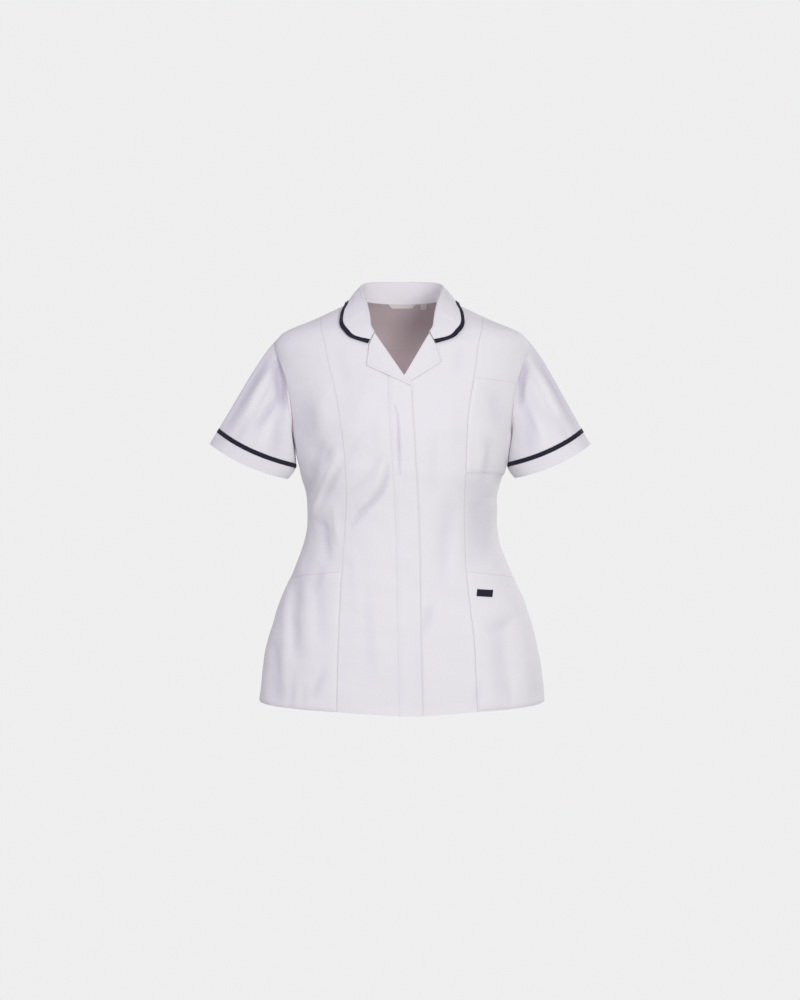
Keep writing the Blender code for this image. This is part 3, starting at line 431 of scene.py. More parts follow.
def across(rails, columns):
    """Angles and heights of a grid whose columns run between successive rails."""
    grids = []
    for k in range(2):
        grid = [rails[0][k][:, None]]
        for first, second, count in zip(rails, rails[1:], columns):
            shares = np.arange(1, count * FINE + 1) / (count * FINE)
            grid.append(first[k][:, None] + (second[k] - first[k])[:, None] * shares)
        grids.append(np.hstack(grid))
    return grids


def with_borders(grid, axis):
    """Adds two thin rows or columns beside each border, where a seam's groove needs them."""
    count = grid.shape[axis]
    near = np.array([0.2, 0.5])
    places = np.sort(np.concatenate([np.arange(count, dtype=float), near, count - 1 - near]))
    low = np.minimum(places.astype(int), count - 2)
    share = (places - low).reshape([-1 if k == axis else 1 for k in range(grid.ndim)])
    return np.take(grid, low, axis) * (1 - share) + np.take(grid, low + 1, axis) * share


def bordered(*grids):
    return [with_borders(with_borders(grid, 0), 1) for grid in grids]


print("rows down a front panel:", len(ROWS["centre"]))

# %% [markdown]
# How does a panel look sewn? Three things do it: the cloth dips where it goes into a seam, a line of
# stitches runs beside it, and the cloth puckers a little there. The dip is in the mesh. The rest needs
# to know how far each point is from the seam and from the stitch line, so both distances are kept
# on the mesh as attributes, and the material reads them.

# %% Walls of cloth
DIP = 0.00022
DIP_WIDTH = 0.0010
# Trough depth at which the painted shade in the body's creases is full
CREASE_SHADE_DEPTH = 0.0085
FAR_AWAY = 0.05
SHARP_EDGE = np.radians(55.0)
BORDERS = ("top", "bottom", "first", "last")
made = {}


def smallest_rectangle(points):
    """Sides of the smallest rectangle round a nearly flat piece."""
    flat = points - points.mean(axis=0)
    ways = np.linalg.svd(flat, full_matrices=False)[2]
    flat = flat @ ways[:2].T
    sizes = []
    for turn in np.radians(np.arange(0.0, 90.0, 1.0)):
        sides = [np.ptp(flat @ way) for way in ((np.cos(turn), np.sin(turn)), (-np.sin(turn), np.cos(turn)))]
        sizes.append((sides[0] * sides[1], min(sides), max(sides)))
    return min(sizes)[1:]


def walked(points, axis):
    """Distance travelled along each row or column of a grid."""
    steps = np.linalg.norm(np.diff(points, axis=axis), axis=-1)
    shape = list(points.shape[:2])
    shape[axis] = 1
    return np.concatenate([np.zeros(shape), np.cumsum(steps, axis=axis)], axis=axis)


def border_distances(points):
    """Distance of every point of a grid from each of its four borders."""
    down = walked(points, 0)
    along = walked(points, 1)
    return {"top": down, "bottom": down[-1:] - down, "first": along, "last": along[:, -1:] - along}


def distance_to(lines, far):
    """Distance from the nearest of some lines, each at an inset from its border."""
    apart = [np.abs(far[border] - inset) for border, inset in lines]
    return np.min([np.full(far["top"].shape, FAR_AWAY)] + apart, axis=0)


def drawn_in(points, normals, insets):
    """Moves the borders of a grid into its own cloth, so that neighbours stay apart at the seam."""
    # The border, the line beside it, and the axis that it runs along.
    lines = {
        "top": (np.s_[0, :], np.s_[1, :], 1),
        "bottom": (np.s_[-1, :], np.s_[-2, :], 1),
        "first": (np.s_[:, 0], np.s_[:, 1], 0),
        "last": (np.s_[:, -1], np.s_[:, -2], 0),
    }
    moved = points.copy()
    for border, gap in insets.items():
        edge, beside, axis = lines[border]
        inward = unit(np.cross(normals[edge], np.gradient(points, axis=axis)[edge]))
        facing = np.sum(inward * (points[beside] - points[edge]), axis=-1, keepdims=True)
        moved[edge] += inward * np.where(facing < 0, -gap, gap)
    return moved


def dipped(points, normals, seams, depth=DIP, width=DIP_WIDTH):
    """The cloth sinks towards the borders that are sewn."""
    far = border_distances(points)
    sink = np.zeros(points.shape[:2])
    for border in seams:
        sink = np.maximum(sink, np.exp(-far[border] / width))
    return points - normals * (sink * depth)[..., None]


def cut_chart(outer, tube):
    """Where each point lies on the flat cut, in metres: along its row, and down its column."""
    along = walked(outer, 1)
    down = walked(outer, 0)
    if tube:
        closing = np.linalg.norm(outer[:, :1] - outer[:, -1:], axis=-1)
        along = np.hstack([along, along[:, -1:] + closing])
        down = np.hstack([down, down[:, :1]])
    return np.stack([along, down], axis=-1)


def rims(rows, columns, tube):
    """The borders of a grid as closed runs of point numbers."""
    grid = np.arange(rows * columns).reshape(rows, columns)
    if tube:
        return [grid[0], grid[-1]]
    return [np.concatenate([grid[0], grid[1:, -1], grid[-1, -2::-1], grid[-2:0:-1, 0]])]


def wall_quads(outer, normals, chart, tube):
    """Quads outside, inside and round the rim, and the places of their corners on the cut."""
    rows, columns = outer.shape[:2]
    size = rows * columns
    i, j = np.meshgrid(np.arange(rows - 1), np.arange(columns if tube else columns - 1), indexing="ij")
    i, j = i.ravel(), j.ravel()
    at_rows = np.stack([i, i + 1, i + 1, i], axis=1)
    at_columns = np.stack([j, j, j + 1, j + 1], axis=1)
    # A tube's last column joins its first.
    flat = at_rows * columns + at_columns % columns
    corners = outer.reshape(-1, 3)[flat]
    facing = np.cross(corners[:, 1] - corners[:, 0], corners[:, 3] - corners[:, 0])
    if np.sum(facing * normals.reshape(-1, 3)[flat[:, 0]]) < 0:
        flat, at_rows, at_columns = flat[:, ::-1], at_rows[:, ::-1], at_columns[:, ::-1]
    places = chart[at_rows, at_columns]
    faces = [flat, flat[:, ::-1] + size]
    charts = [places, places[:, ::-1]]
    rim = chart[:, :columns].reshape(-1, 2)
    for a in rims(rows, columns, tube):
        b = np.roll(a, -1)
        faces.append(np.stack([a, b, b + size, a + size], axis=1))
        charts.append(np.stack([rim[a], rim[b], rim[b], rim[a]], axis=1))
    spans = np.cross(corners[:, 2] - corners[:, 0], corners[:, 3] - corners[:, 1])
    return np.concatenate(faces), np.concatenate(charts), float(np.linalg.norm(spans, axis=1).sum() / 2)


def body_crease_shade(points):
    """How deep in a trough of the body's cloth a point lies, from 0 to 1, which sets how much painted shade
    it gets.
    """
    return np.clip(-body_rise(points) / CREASE_SHADE_DEPTH, 0.0, 1.0)


def keep_on(mesh, label, values):
    """Keeps one number for each point of a mesh, where a material can read it."""
    kept = mesh.attributes.new(label, "FLOAT", "POINT")
    kept.data.foreach_set("value", values.astype(np.float32))


def add_object(name, data):
    thing = bpy.data.objects.new(name, data)
    bpy.context.scene.collection.objects.link(thing)
    return thing


def wall(name, outer, normals, thickness=CLOTH, seams=(), stitched=(), edges=(), tube=False,
         inside_shade=True, painted_shade=None):
    """A closed wall of cloth with a UV map in metres and its distances from seams and stitches."""
    thick = np.broadcast_to(np.asarray(thickness, float), outer.shape[:2])
    points = np.concatenate([outer, outer - normals * thick[..., None]]).reshape(-1, 3)
    chart = cut_chart(outer, tube)
    faces, charts, area = wall_quads(outer, normals, chart, tube)
    mesh = bpy.data.meshes.new(f"{name}_cloth")
    mesh.from_pydata(points.tolist(), [], faces.tolist())
    layer = mesh.uv_layers.new(name="UVMap")
    layer.data.foreach_set("uv", charts.astype(np.float32).ravel())
    far = border_distances(outer)
    # The seam and edge distances and the trough mask also set painted shade in the material; the inner side
    # gets painted shade and a painted glow.
    for label, values in (
        ("seam", distance_to([(border, 0.0) for border in seams], far)),
        ("stitch", distance_to(stitched, far)),
        ("edge", distance_to([(border, 0.0) for border in edges], far)),
        ("painted_shade", body_crease_shade(outer) if painted_shade is None else painted_shade),
    ):
        keep_on(mesh, label, np.tile(values.ravel(), 2))
    keep_on(mesh, "inside", np.repeat([0.0, 1.0 if inside_shade else 0.0], len(points) // 2))
    shell = bmesh.new()
    shell.from_mesh(mesh)
    bmesh.ops.recalc_face_normals(shell, faces=shell.faces)
    shell.to_mesh(mesh)
    shell.free()
    mesh.shade_smooth()
    mesh.set_sharp_from_angle(angle=SHARP_EDGE)
    cut = (float(chart[:, -1, 0].max()), float(chart[-1, :, 1].max()))
    if "revers" in name:
        cut = tuple(float(side) for side in smallest_rectangle(outer.reshape(-1, 3)))
    piece = add_object(f"{name}_cloth", mesh)
    made[name] = {"piece": piece, "flat": cut, "area": area, "outer": outer, "normals": normals}
    width, length = (round(side, 3) for side in cut)
    print(name, "faces:", len(faces), "cut:", width, "x", length, "area:", round(area, 4))


# %% [markdown]
# Stitch lines run at a steady distance from a border. This helper walks a finished grid and finds
# that line on its own facets, so thread laid on it can neither float nor sink.

# %% Stitch lines
thread_runs = []


def inset_line(name, border, inset, begin=0.0, end=1.0, colour="white"):
    """Keeps a line for thread, at an inset from a border of a finished wall."""
    outer, normals = made[name]["outer"], made[name]["normals"]
    far = border_distances(outer)[border]
    if border in ("first", "last"):
        outer, normals, far = outer.transpose(1, 0, 2), normals.transpose(1, 0, 2), far.T
    if border in ("bottom", "last"):
        outer, normals, far = outer[::-1], normals[::-1], far[::-1]
    rows, count = far.shape
    points = []
    ups = []
    for j in range(int(begin * (count - 1)), int(end * (count - 1)) + 1):
        k = int(np.clip(np.searchsorted(far[:, j], inset) - 1, 0, rows - 2))
        share = (inset - far[k, j]) / max(far[k + 1, j] - far[k, j], 1e-9)
        points.append(outer[k, j] + (outer[k + 1, j] - outer[k, j]) * share)
        ups.append(normals[k, j])
    thread_runs.append((np.array(points), np.array(ups), colour))


print("helpers ready")

# %% [markdown]
# The fronts. The wearer's right front lies over the left, so its free edge would be the closure, but a
# separate placket strip covers the fastening. Princess seams divide each side into a narrow front and
# a side front that reaches round to the side seam.
# The hem is turned up 20 mm, so the wall grows thicker there and carries a row of stitches.

# %% Front panels
HEM_TURN = 0.020
HEM_EXTRA = 0.0006
YOKE_STITCH = 0.0065
SEAM_INSET = SEAM_GAP / 10
FREE_INSET = 0.0001
DART_DIP = 0.0008
DART_WIDTH = 0.003
REVERS_BOTTOM = 0.157
UPRIGHT = ("top", "first", "last")


def panel(name, angles, heights, seams, free=(), hem=True, darts=()):
    """A cut piece that is sewn along some borders and free along others."""
    angles, heights = bordered(angles, heights)
    points, normals = cloth(angles, heights)
    away = np.full(points.shape[:2], FAR_AWAY)
    for x, top, bottom in darts:
        past = np.maximum(heights - top, 0) + np.maximum(bottom - heights, 0)
        away = np.minimum(away, np.hypot(points[..., 0] - x, past))
    points = points - normals * (DART_DIP * np.exp(-((away / DART_WIDTH) ** 2)))[..., None]
    insets = dict.fromkeys(seams, SEAM_INSET) | dict.fromkeys(free, FREE_INSET)
    points = dipped(drawn_in(points, normals, insets), normals, seams)
    turned = smooth((HEM_TURN + 0.001 - border_distances(points)["bottom"]) / 0.002)
    thickness = CLOTH + HEM_EXTRA * turned if hem else CLOTH
    wall(name, points, normals, thickness, seams, (("bottom", HEM_TURN if hem else YOKE_STITCH),))


def strip_rail(edge):
    """The line on the left front where it passes out from under the placket."""
    centre = ROWS["centre"]
    under = ring_point(*edge)[:, 0] + table_curve(UNDERLAP, 1)(centre)
    x = np.where(centre > -REVERS_BOTTOM, under, table_curve(PLACKET_EDGE, 1)(centre))
    angles = angle_at(x, centre)
    heights = centre.copy()
    angles[0] = np.pi / 2
    heights[0] = UPPER_ROWS[0][1] * 0.25
    return angles, heights


right_edge = rail(NECKLINE + RIGHT_EDGE, RIGHT)
left_edge = rail(NECKLINE + LEFT_EDGE, LEFT)
seam_right = rail(PRINCESS_RIGHT, RIGHT, ROWS["princess"])
seam_left = rail(PRINCESS_LEFT, LEFT, ROWS["princess"])
left_front = (left_edge, strip_rail(left_edge), seam_left)
right_rails = (side_rail(ARMHOLE_FRONT, RIGHT), seam_right)
left_rails = (seam_left, side_rail(ARMHOLE_FRONT, LEFT))
panel("front_right", *across((seam_right, right_edge), (9,)), ("top", "first"), ("last", "bottom"))
panel("front_left", *across(left_front, (2, 9)), ("top", "last"), ("first", "bottom"))
panel("side_front_right", *across(right_rails, (8,)), UPRIGHT, ("bottom",))
panel("side_front_left", *across(left_rails, (8,)), UPRIGHT, ("bottom",))

# %% [markdown]
# The placket is a strip that hides the fastening. It starts under the right revers, stands a little
# proud along its free edge, and sinks to the front where a line of stitches holds it, 40 mm in.

# %% Placket
PLACKET_REACH = 0.040
PLACKET_FLAT = 0.010
PLACKET_LIFT = 0.0002
PLACKET_PROUD = 0.0007
EDGE_STITCH = 0.0012
PLACKET_INSETS = np.concatenate([[0.040, 0.0394, 0.0386, 0.0375], np.arange(0.036, 0.004, -0.0015),
                                 [0.003, 0.0015, 0.0006, 0.0]])


def roll_height(x):
    """Height of the right roll line, which runs straight from the collar's end to the placket's top."""
    (x0, z0), (x1, z1) = REVERS_RIGHT[:2]
    return z0 + (z1 - z0) * (x - x0) / (x1 - x0)


def placket_grid():
    """Places across and heights of the placket's points, a column for each inset from its edge."""
    shared = ROWS["centre"][ROWS["centre"] < -REVERS_BOTTOM - 0.01]
    edge = table_curve(PLACKET_EDGE, 1)
    x = []
    heights = []
    for inset in PLACKET_INSETS:
        top = roll_height(edge(-REVERS_BOTTOM) - inset)
        levels = np.concatenate([spread(top, shared[0], 5 * FINE), shared])
        x.append(edge(np.minimum(levels, -REVERS_BOTTOM)) - inset)
        heights.append(levels)
    return np.array(x).T, np.array(heights).T


x, heights = placket_grid()
lift = PLACKET_LIFT + (CLOTH + PLACKET_PROUD) * smooth((PLACKET_REACH - PLACKET_INSETS) / PLACKET_FLAT)
points, normals = cloth(angle_at(x, heights), heights, np.broadcast_to(lift, x.shape))
# A pressed fold is blunt: the free edge turns down over its last millimetre.
turn_down = 0.0005 * np.exp(-PLACKET_INSETS / 0.0007)
points = points - normals * turn_down[None, :, None]
wall("front_placket", points, normals, stitched=(("first", EDGE_STITCH), ("last", 0.0015)), edges=("last",))
inset_line("front_placket", "first", EDGE_STITCH, 0.02)

# %% [markdown]
# The revers are the corners of the two fronts, turned back at the neck. A flat triangle would look
# like paper: real cloth rolls over along the fold, so the first columns follow a small arc.

# %% Revers
ROLL_OUT = 0.0012
ROLL_DROP = 0.0007
ROLL_ARC = 0.0022
REVERS_REST = CLOTH + 0.0009
REVERS_STITCH = 0.006


def revers(name, corners, lift):
    gorge, crossing, tip, notch, corner = (np.array(p) for p in corners)
    straight = np.linalg.norm(crossing - gorge)
    bend = straight / (straight + np.linalg.norm(tip - crossing))
    shares = np.linspace(0.0, 1.0, 37)
    bends = np.array([gorge, crossing, tip])
    roll = np.stack([np.interp(shares, (0.0, bend, 1.0), bends[:, k]) for k in range(2)], axis=-1)
    outer = notch + (corner - notch) * shares[:, None]
    way = unit(outer - roll)
    length = np.linalg.norm(outer - roll, axis=-1)
    turns = np.radians(np.linspace(0.0, 90.0, 7))
    steps = [-ROLL_OUT + ROLL_ARC * (1 - np.cos(turn)) + 0 * length for turn in turns]
    lifts = [-ROLL_DROP + (lift + ROLL_DROP) * np.sin(turn) + 0 * length for turn in turns]
    start = steps[-1]
    for share in np.linspace(0.0, 1.0, 22)[1:]:
        steps.append(start + (length - start) * share)
        lifts.append(lift + 0 * length)
    steps, lifts = np.array(steps).T, np.array(lifts).T
    x, heights = np.moveaxis(roll[:, None] + way[:, None] * steps[..., None], -1, 0)
    # Away from the placket the revers sinks until it lies on the front.
    settle = smooth((steps - 0.012) / 0.03) * smooth((np.abs(x) - 0.022) / 0.02)
    lifts = lifts - np.maximum(lifts - REVERS_REST, 0.0) * settle
    stitched = (("last", REVERS_STITCH), ("bottom", REVERS_STITCH))
    wall(name, *cloth(angle_at(x, heights), heights, lifts), CLOTH * 0.9, (), stitched, ("last", "bottom"))
    inset_line(name, "last", REVERS_STITCH, 0.0, 0.94)
    inset_line(name, "bottom", REVERS_STITCH, 0.05, 0.9)


revers("revers_right", REVERS_RIGHT, 2 * LAYER_GAP + 2 * SOLID_WALL)
revers("revers_left", REVERS_LEFT, LAYER_GAP + SOLID_WALL)

# %% [markdown]
# The back is a yoke over the shoulder blades and one body panel below it. The photo does not show it,
# so it is kept plain: the yoke seam is known from inside the neck, and two long darts take in the waist.

# %% Back
YOKE_ROWS = 3
YOKE_SHOULDER_COLUMNS = 7
YOKE_NECK_COLUMNS = 5
YOKE_EASE = 1.7
YOKE_TIP = 0.10
# Stations along the collar, from the back's centre forward: degrees and height of the neck seam
COLLAR_NECK = ((180.0, -0.0025), (160.0, -0.0023), (140.0, -0.0017), (115.0, -0.0008), (90.0, 0.0),
               (70.0, -0.0010), (52.0, -0.0065), (36.9, -0.0133), (22.2, -0.0350), (14.4, -0.0586),
               (12.1, -0.0660))
# x, top height, bottom height
DARTS = ((0.0798, -0.285, -0.500), (-0.0798, -0.285, -0.500))


def back_angles():
    """Angles of the back's columns at the yoke seam, from the wearer's left armhole to the centre."""
    tip = np.radians(table_curve(ARMHOLE_BACK, 1)(YOKE_TIP))
    reach = half_width(YOKE_SEAM) * np.sin(tip) ** (2 / squareness(YOKE_SEAM))
    shares = np.linspace(0.0, 1.0, YOKE_SHOULDER_COLUMNS + 1)[1:] ** YOKE_EASE
    widths = reach + (half_width(0.0) - reach) * shares
    widths = np.concatenate([widths, np.linspace(half_width(0.0), 0.0, YOKE_NECK_COLUMNS + 1)[1:]])
    return np.concatenate([[tip], np.pi - np.abs(angle_at(widths, YOKE_SEAM))])


def whole_back(angles, heights):
    """Both halves of the back from its left half, in order round the body."""
    return np.hstack([angles, 2 * np.pi - angles[:, -2::-1]]), np.hstack([heights, heights[:, -2::-1]])


low = fine(back_angles())
shoulder = np.linspace(SHOULDER_END, 0.0, YOKE_SHOULDER_COLUMNS * FINE + 1)
neck_angles = np.linspace(90.0, 180.0, YOKE_NECK_COLUMNS * FINE + 1)[1:]
neck_heights = table_curve(COLLAR_NECK[:5], 1)(neck_angles)
top = np.concatenate([np.full(len(shoulder), np.pi / 2), np.radians(neck_angles)])
top_heights = np.concatenate([shoulder, neck_heights])
share = np.linspace(0.0, 1.0, YOKE_ROWS * FINE + 1)[:, None]
yoke = whole_back(top + (low - top) * share, top_heights + (YOKE_SEAM - top_heights) * share**2)
panel("back_yoke", *yoke, BORDERS, hem=False)

side_angles, side_heights = side_rail(ARMHOLE_BACK, LEFT, YOKE_TIP)
fractions = (np.pi - low) / (np.pi - low[0])
angles = np.pi - (np.pi - side_angles)[:, None] * fractions
level = np.linspace(YOKE_SEAM, ROWS["side"][0], BACK_UPPER_ROWS + 1)[:-1]
quarter = np.concatenate([level, ROWS["quarter"]])[:, None]
centre = np.concatenate([level, ROWS["back"]])[:, None]
outer_half = quarter + (side_heights[:, None] - quarter) * (2 * fractions - 1)
inner_half = centre + (quarter - centre) * 2 * fractions
heights = np.where(fractions > 0.5, outer_half, inner_half)
panel("back_body", *whole_back(angles, heights), UPRIGHT, ("bottom",), darts=DARTS)

# %% [markdown]
# A sleeve is a tube. Each line of it leaves the armhole, and bends over the shoulder to the cuff.
# Under the arm the tube would run into the body, so those points are moved straight out of it.
# The navy band and the cuff are the last two stretches of the same lines.

# %% Sleeves
# Centre x, centre height, half length, half depth, how far the front and back droop
CUFFS = {
    RIGHT: (0.2597, -0.2767, 0.0723, 0.047, 0.0080, 0.0040),
    LEFT: (0.2556, -0.2760, 0.0701, 0.047, 0.0080, 0.0040),
}
CUFF_RISE = (0.911, 0.413)
CUFF_Y = -0.010
# degrees round, start x and z, end x and z
SLEEVE_WAYS = (
    (0.0, 0.45, -0.38, 0.42, -0.66),
    (90.0, 0.52, -0.60, 0.45, -0.75),
    (180.0, -0.45, -1.20, 0.95, -0.85),
)
# The two sleeves crease alike, but not the same.
SLEEVE_SHIFT = {RIGHT: 0.0, LEFT: 7.0}
SLEEVE_DEPTH = {RIGHT: 1.0, LEFT: 0.85}
SLEEVE_CLEARANCE = 0.0035
SLEEVE_PARTING = 1.5
# Painted shade on the sleeves: full at this trough depth, and this much everywhere
SLEEVE_CREASE_SHADE_DEPTH = 0.0088
SLEEVE_SHADE = 0.18
SLEEVE_SPANS = 48
CURVE_POINTS = 90
# Rows in metres from a seam, and as shares of the band and of the cuff
SEAM_ROWS = (0.0, 0.0006, 0.0014)
BAND_ROWS = (0.07, 0.2, 0.5, 0.8, 0.93, 1.0)
CUFF_ROWS = (0.03, 0.08, 0.2, 0.35, 0.5, 0.65, 0.8, 0.9, 0.96, 0.985, 1.0)
BAND_PROUD = 0.0004
BAND_EDGE = 0.0008
JOIN_DIP = 0.0004
JOIN_WIDTH = 0.0012
RIPPLE = 0.0003
# Both edges of a band are stitched.
BAND_STITCH = (("top", 0.0010), ("bottom", 0.0010))


def turned_to(ways, towards):
    """The same directions, each flipped where it points away from the other."""
    return ways * np.sign(np.sum(ways * towards, axis=-1, keepdims=True))


def ring_level(points):
    """Below 0 inside the body's rings, 0 on them and above 0 outside."""
    x, y, height = np.moveaxis(points, -1, 0)
    depth = np.where(y < 0, front_depth(height), back_depth(height))
    power = squareness(height)
    return (np.abs(x / half_width(height)) ** power + np.abs(y / depth) ** power) ** (1 / power) - 1


def out_of_body(points, wanted, ease=1e-6):
    """Moves points that are nearer to the body's rings than wanted straight out to that distance."""
    for _ in range(3):
        rises = [ring_level(points + STEP * way) - ring_level(points - STEP * way) for way in np.eye(3)]
        slope = np.stack(rises, axis=-1) / (2 * STEP)
        steepness = np.linalg.norm(slope, axis=-1)
        short = wanted - ring_level(points) / steepness
        short = (short + np.sqrt(short**2 + ease**2)) / 2
        points = points + slope / steepness[..., None] * short[..., None]
    return points


def armhole_loop(side):
    """The armhole's points and body normals: down the front from the shoulder's end, then up the back."""
    front = [run[: UPPER_COUNT + 1] for run in side_rail(ARMHOLE_FRONT, side)]
    back = [run[:BACK_UPPER_ROWS][::-1] for run in side_rail(ARMHOLE_BACK, side, YOKE_TIP)]
    share = np.linspace(0.0, 1.0, YOKE_ROWS * FINE + 1)[1:-1][::-1]
    tip = np.radians(table_curve(ARMHOLE_BACK, 1)(YOKE_TIP))
    over_angles = side * (np.pi / 2 + (tip - np.pi / 2) * share)
    over_heights = SHOULDER_END + (YOKE_SEAM - SHOULDER_END) * share**2
    angles = np.concatenate([front[0], back[0], over_angles])
    heights = np.concatenate([front[1], back[1], over_heights])
    points, normals = cloth(angles, heights)
    away = unit(np.cross(normals, np.roll(points, -1, axis=0) - np.roll(points, 1, axis=0)))
    return points + turned_to(away, points.mean(axis=0) - points) * SEAM_INSET - normals * DIP, normals


def cuff_loop(side, degrees):
    """The open end of a sleeve: a drooping oval, one point for each of the degrees round it."""
    centre_x, centre_z, half_length, half_depth, front_droop, back_droop = CUFFS[side]
    turn = np.radians(degrees)
    rise_x, rise_z = CUFF_RISE
    droop = np.where(degrees < 180, front_droop, back_droop) * np.sin(turn) ** 2
    return np.stack([
        side * (centre_x + half_length * np.cos(turn) * rise_x + droop * rise_z),
        CUFF_Y - half_depth * np.sin(turn),
        centre_z + half_length * np.cos(turn) * rise_z - droop * rise_x,
    ], axis=-1)


def sleeve_curves(side):
    """Fine curves from the armhole to the sleeve's hem, with the degrees round of each."""
    start, normals = armhole_loop(side)
    run = np.concatenate([[0.0], np.cumsum(np.linalg.norm(np.diff(start, axis=0), axis=1))])
    under = run[UPPER_COUNT]
    whole = run[-1] + np.linalg.norm(start[0] - start[-1])
    degrees = np.where(run <= under, 180.0 * run / under, 180.0 + 180.0 * (run - under) / (whole - under))
    end = cuff_loop(side, degrees)
    length = np.linalg.norm(end - start, axis=1)
    folded = 180.0 - np.abs(180.0 - degrees)
    ways = [table_curve(SLEEVE_WAYS, k)(folded) * length for k in range(1, 5)]
    leave = np.stack([side * ways[0], 0 * length, ways[1]], axis=-1)
    reach = np.stack([side * ways[2], 0 * length, ways[3]], axis=-1)
    t = np.linspace(0.0, 1.0, CURVE_POINTS)[:, None, None]
    curves = start * (1 + 2 * t) * (1 - t) ** 2 + end * t * t * (3 - 2 * t)
    curves = curves + leave * t * (1 - t) ** 2 + reach * t * t * (t - 1)
    under_arm = smooth((folded - 50.0) / 60.0)
    clear = SLEEVE_CLEARANCE * (0.1 + 0.9 * under_arm)
    wanted = np.minimum(clear, SLEEVE_PARTING * (0.15 + 0.85 * under_arm) * length * t[..., 0])
    return out_of_body(curves, wanted), degrees, normals


def along_curves(curves, places):
    """Points of each curve at the given distances from its start, rows by curves."""
    steps = np.linalg.norm(np.diff(curves, axis=0), axis=2)
    run = np.vstack([np.zeros(steps.shape[1]), np.cumsum(steps, axis=0)])
    found = np.empty(places.shape + (3,))
    for j in range(curves.shape[1]):
        for axis in range(3):
            found[:, j, axis] = np.interp(places[:, j], run[:, j], curves[:, j, axis])
    return found


def tube_normals(points):
    around = np.roll(points, -1, axis=1) - np.roll(points, 1, axis=1)
    normals = unit(np.cross(around, np.gradient(points, axis=0)))
    return normals * np.sign(np.sum(normals * (points - points.mean(axis=1, keepdims=True))))


def sleeve_rise(side, degrees, places, lengths):
    """How far the sleeve's cloth rises in its folds and just past the armhole."""
    turned = degrees + SLEEVE_SHIFT[side] * np.sin(np.radians(degrees))
    down_share = 100.0 * places / lengths
    rise = fold_rise(turned + 0 * places, down_share, SLEEVE_FOLDS) * SLEEVE_DEPTH[side]
    rise += fold_rise(degrees + 0 * places, down_share, ARMHOLE_FOLDS[side])
    rise += RIPPLE * np.sin(np.radians(degrees) * 7 + 40 * places) * smooth(places / 0.03)
    # The cloth eased into the armhole stands up a little just past the seam, over the shoulder.
    cap = np.cos(np.radians(degrees) / 2) ** 2
    return rise + RIPPLE * cap * np.exp(-(((places - 0.008) / 0.006) ** 2))


def make_sleeve(side, word):
    curves, degrees, body_normals = sleeve_curves(side)
    lengths = np.linalg.norm(np.diff(curves, axis=0), axis=2).sum(axis=0)
    main = lengths - CUFF_WIDTH - BAND_WIDTH
    places = [0.0 * main + row for row in SEAM_ROWS]
    places += [main * k / SLEEVE_SPANS for k in range(1, SLEEVE_SPANS)]
    places += [main - row for row in SEAM_ROWS[::-1]]
    cut = len(places) - 1
    places += [main + BAND_WIDTH * share for share in BAND_ROWS]
    band = len(places) - 1
    places += [lengths - CUFF_WIDTH + CUFF_WIDTH * share for share in CUFF_ROWS]
    hem = len(places) - 1
    places = np.array(places)
    points = along_curves(curves, places)
    rise = sleeve_rise(side, degrees, places, lengths)
    points[1:] += tube_normals(points)[1:] * rise[1:, :, None]
    normals = tube_normals(points)
    same = np.sum(normals[0] * body_normals, axis=-1, keepdims=True) > 0.5
    normals[0] = np.where(same, body_normals, normals[0])
    down = unit(np.gradient(points, axis=0)) * SEAM_INSET
    # name, first and last row, seams, stitches, borders that sink, how proud it stands, extra thickness
    for name, start, stop, seams, stitched, sunk, proud, extra in (
        ("sleeve", 0, cut, ("top", "bottom"), (), ("bottom",), 0.0, 0.0),
        ("sleeve_piping", cut, band, ("top", "bottom"), BAND_STITCH, (), BAND_PROUD, 0.0),
        ("cuff", band, hem, ("top",), (("bottom", HEM_TURN),), ("top",), 0.0, HEM_EXTRA),
    ):
        rows = slice(start, stop + 1)
        grid = points[rows].copy()
        grid[0] += down[start] if start else 0.0
        grid[-1] -= down[stop] if stop < hem else 0.0
        far = border_distances(grid)
        near_edge = np.minimum(far["top"], far["bottom"])
        grid = grid + normals[rows] * (proud * smooth(near_edge / BAND_EDGE))[..., None]
        grid = dipped(grid, normals[rows], sunk, JOIN_DIP, JOIN_WIDTH)
        # Painted shade: a little all over the sleeve and more in its troughs.
        painted_shade = np.clip(SLEEVE_SHADE - rise[rows] / SLEEVE_CREASE_SHADE_DEPTH, 0.0, 1.0)
        wall(f"{name}_{word}", grid, normals[rows], CLOTH + extra, seams, stitched, tube=True, painted_shade=painted_shade)


for side, word in ((RIGHT, "right"), (LEFT, "left")):
    make_sleeve(side, word)
for word in ("right", "left"):
    for border, inset in BAND_STITCH:
        inset_line(f"sleeve_piping_{word}", border, inset, colour="navy")

# %% [markdown]
# The collar stands up from the neck seam, rolls over and falls onto the shoulders. Its section is the
# same all round: a stand, a tight roll and a fall. Only the sizes of that section change along the
# neck, so it is drawn once and swept through stations.

# %% Collar
COLLAR_REST = 0.0012 + SOLID_WALL / 2
COLLAR_ROLL = 0.0026
COLLAR_SEAM = 0.0010
COLLAR_EASE = 0.0016
COLLAR_BOW = 0.0012
COLLAR_STITCH = 0.0060
COLLAR_ROLL_SHARE = 0.42
COLLAR_END = 9.97
# The same stations as COLLAR_NECK: x, y, height of the roll
COLLAR_ROLL_LINE = metres((
    (0, 74.5, 36), (25.5, 71.5, 35.8), (47.5, 60, 34.5), (64, 39, 30), (69.7, 12, 22), (69, -8, 14.5),
    (67.2, -28, 4.5), (63.4, -44, -6.5), (58.2, -66, -29), (53, -82, -55), (47, -86.8, -64),
))
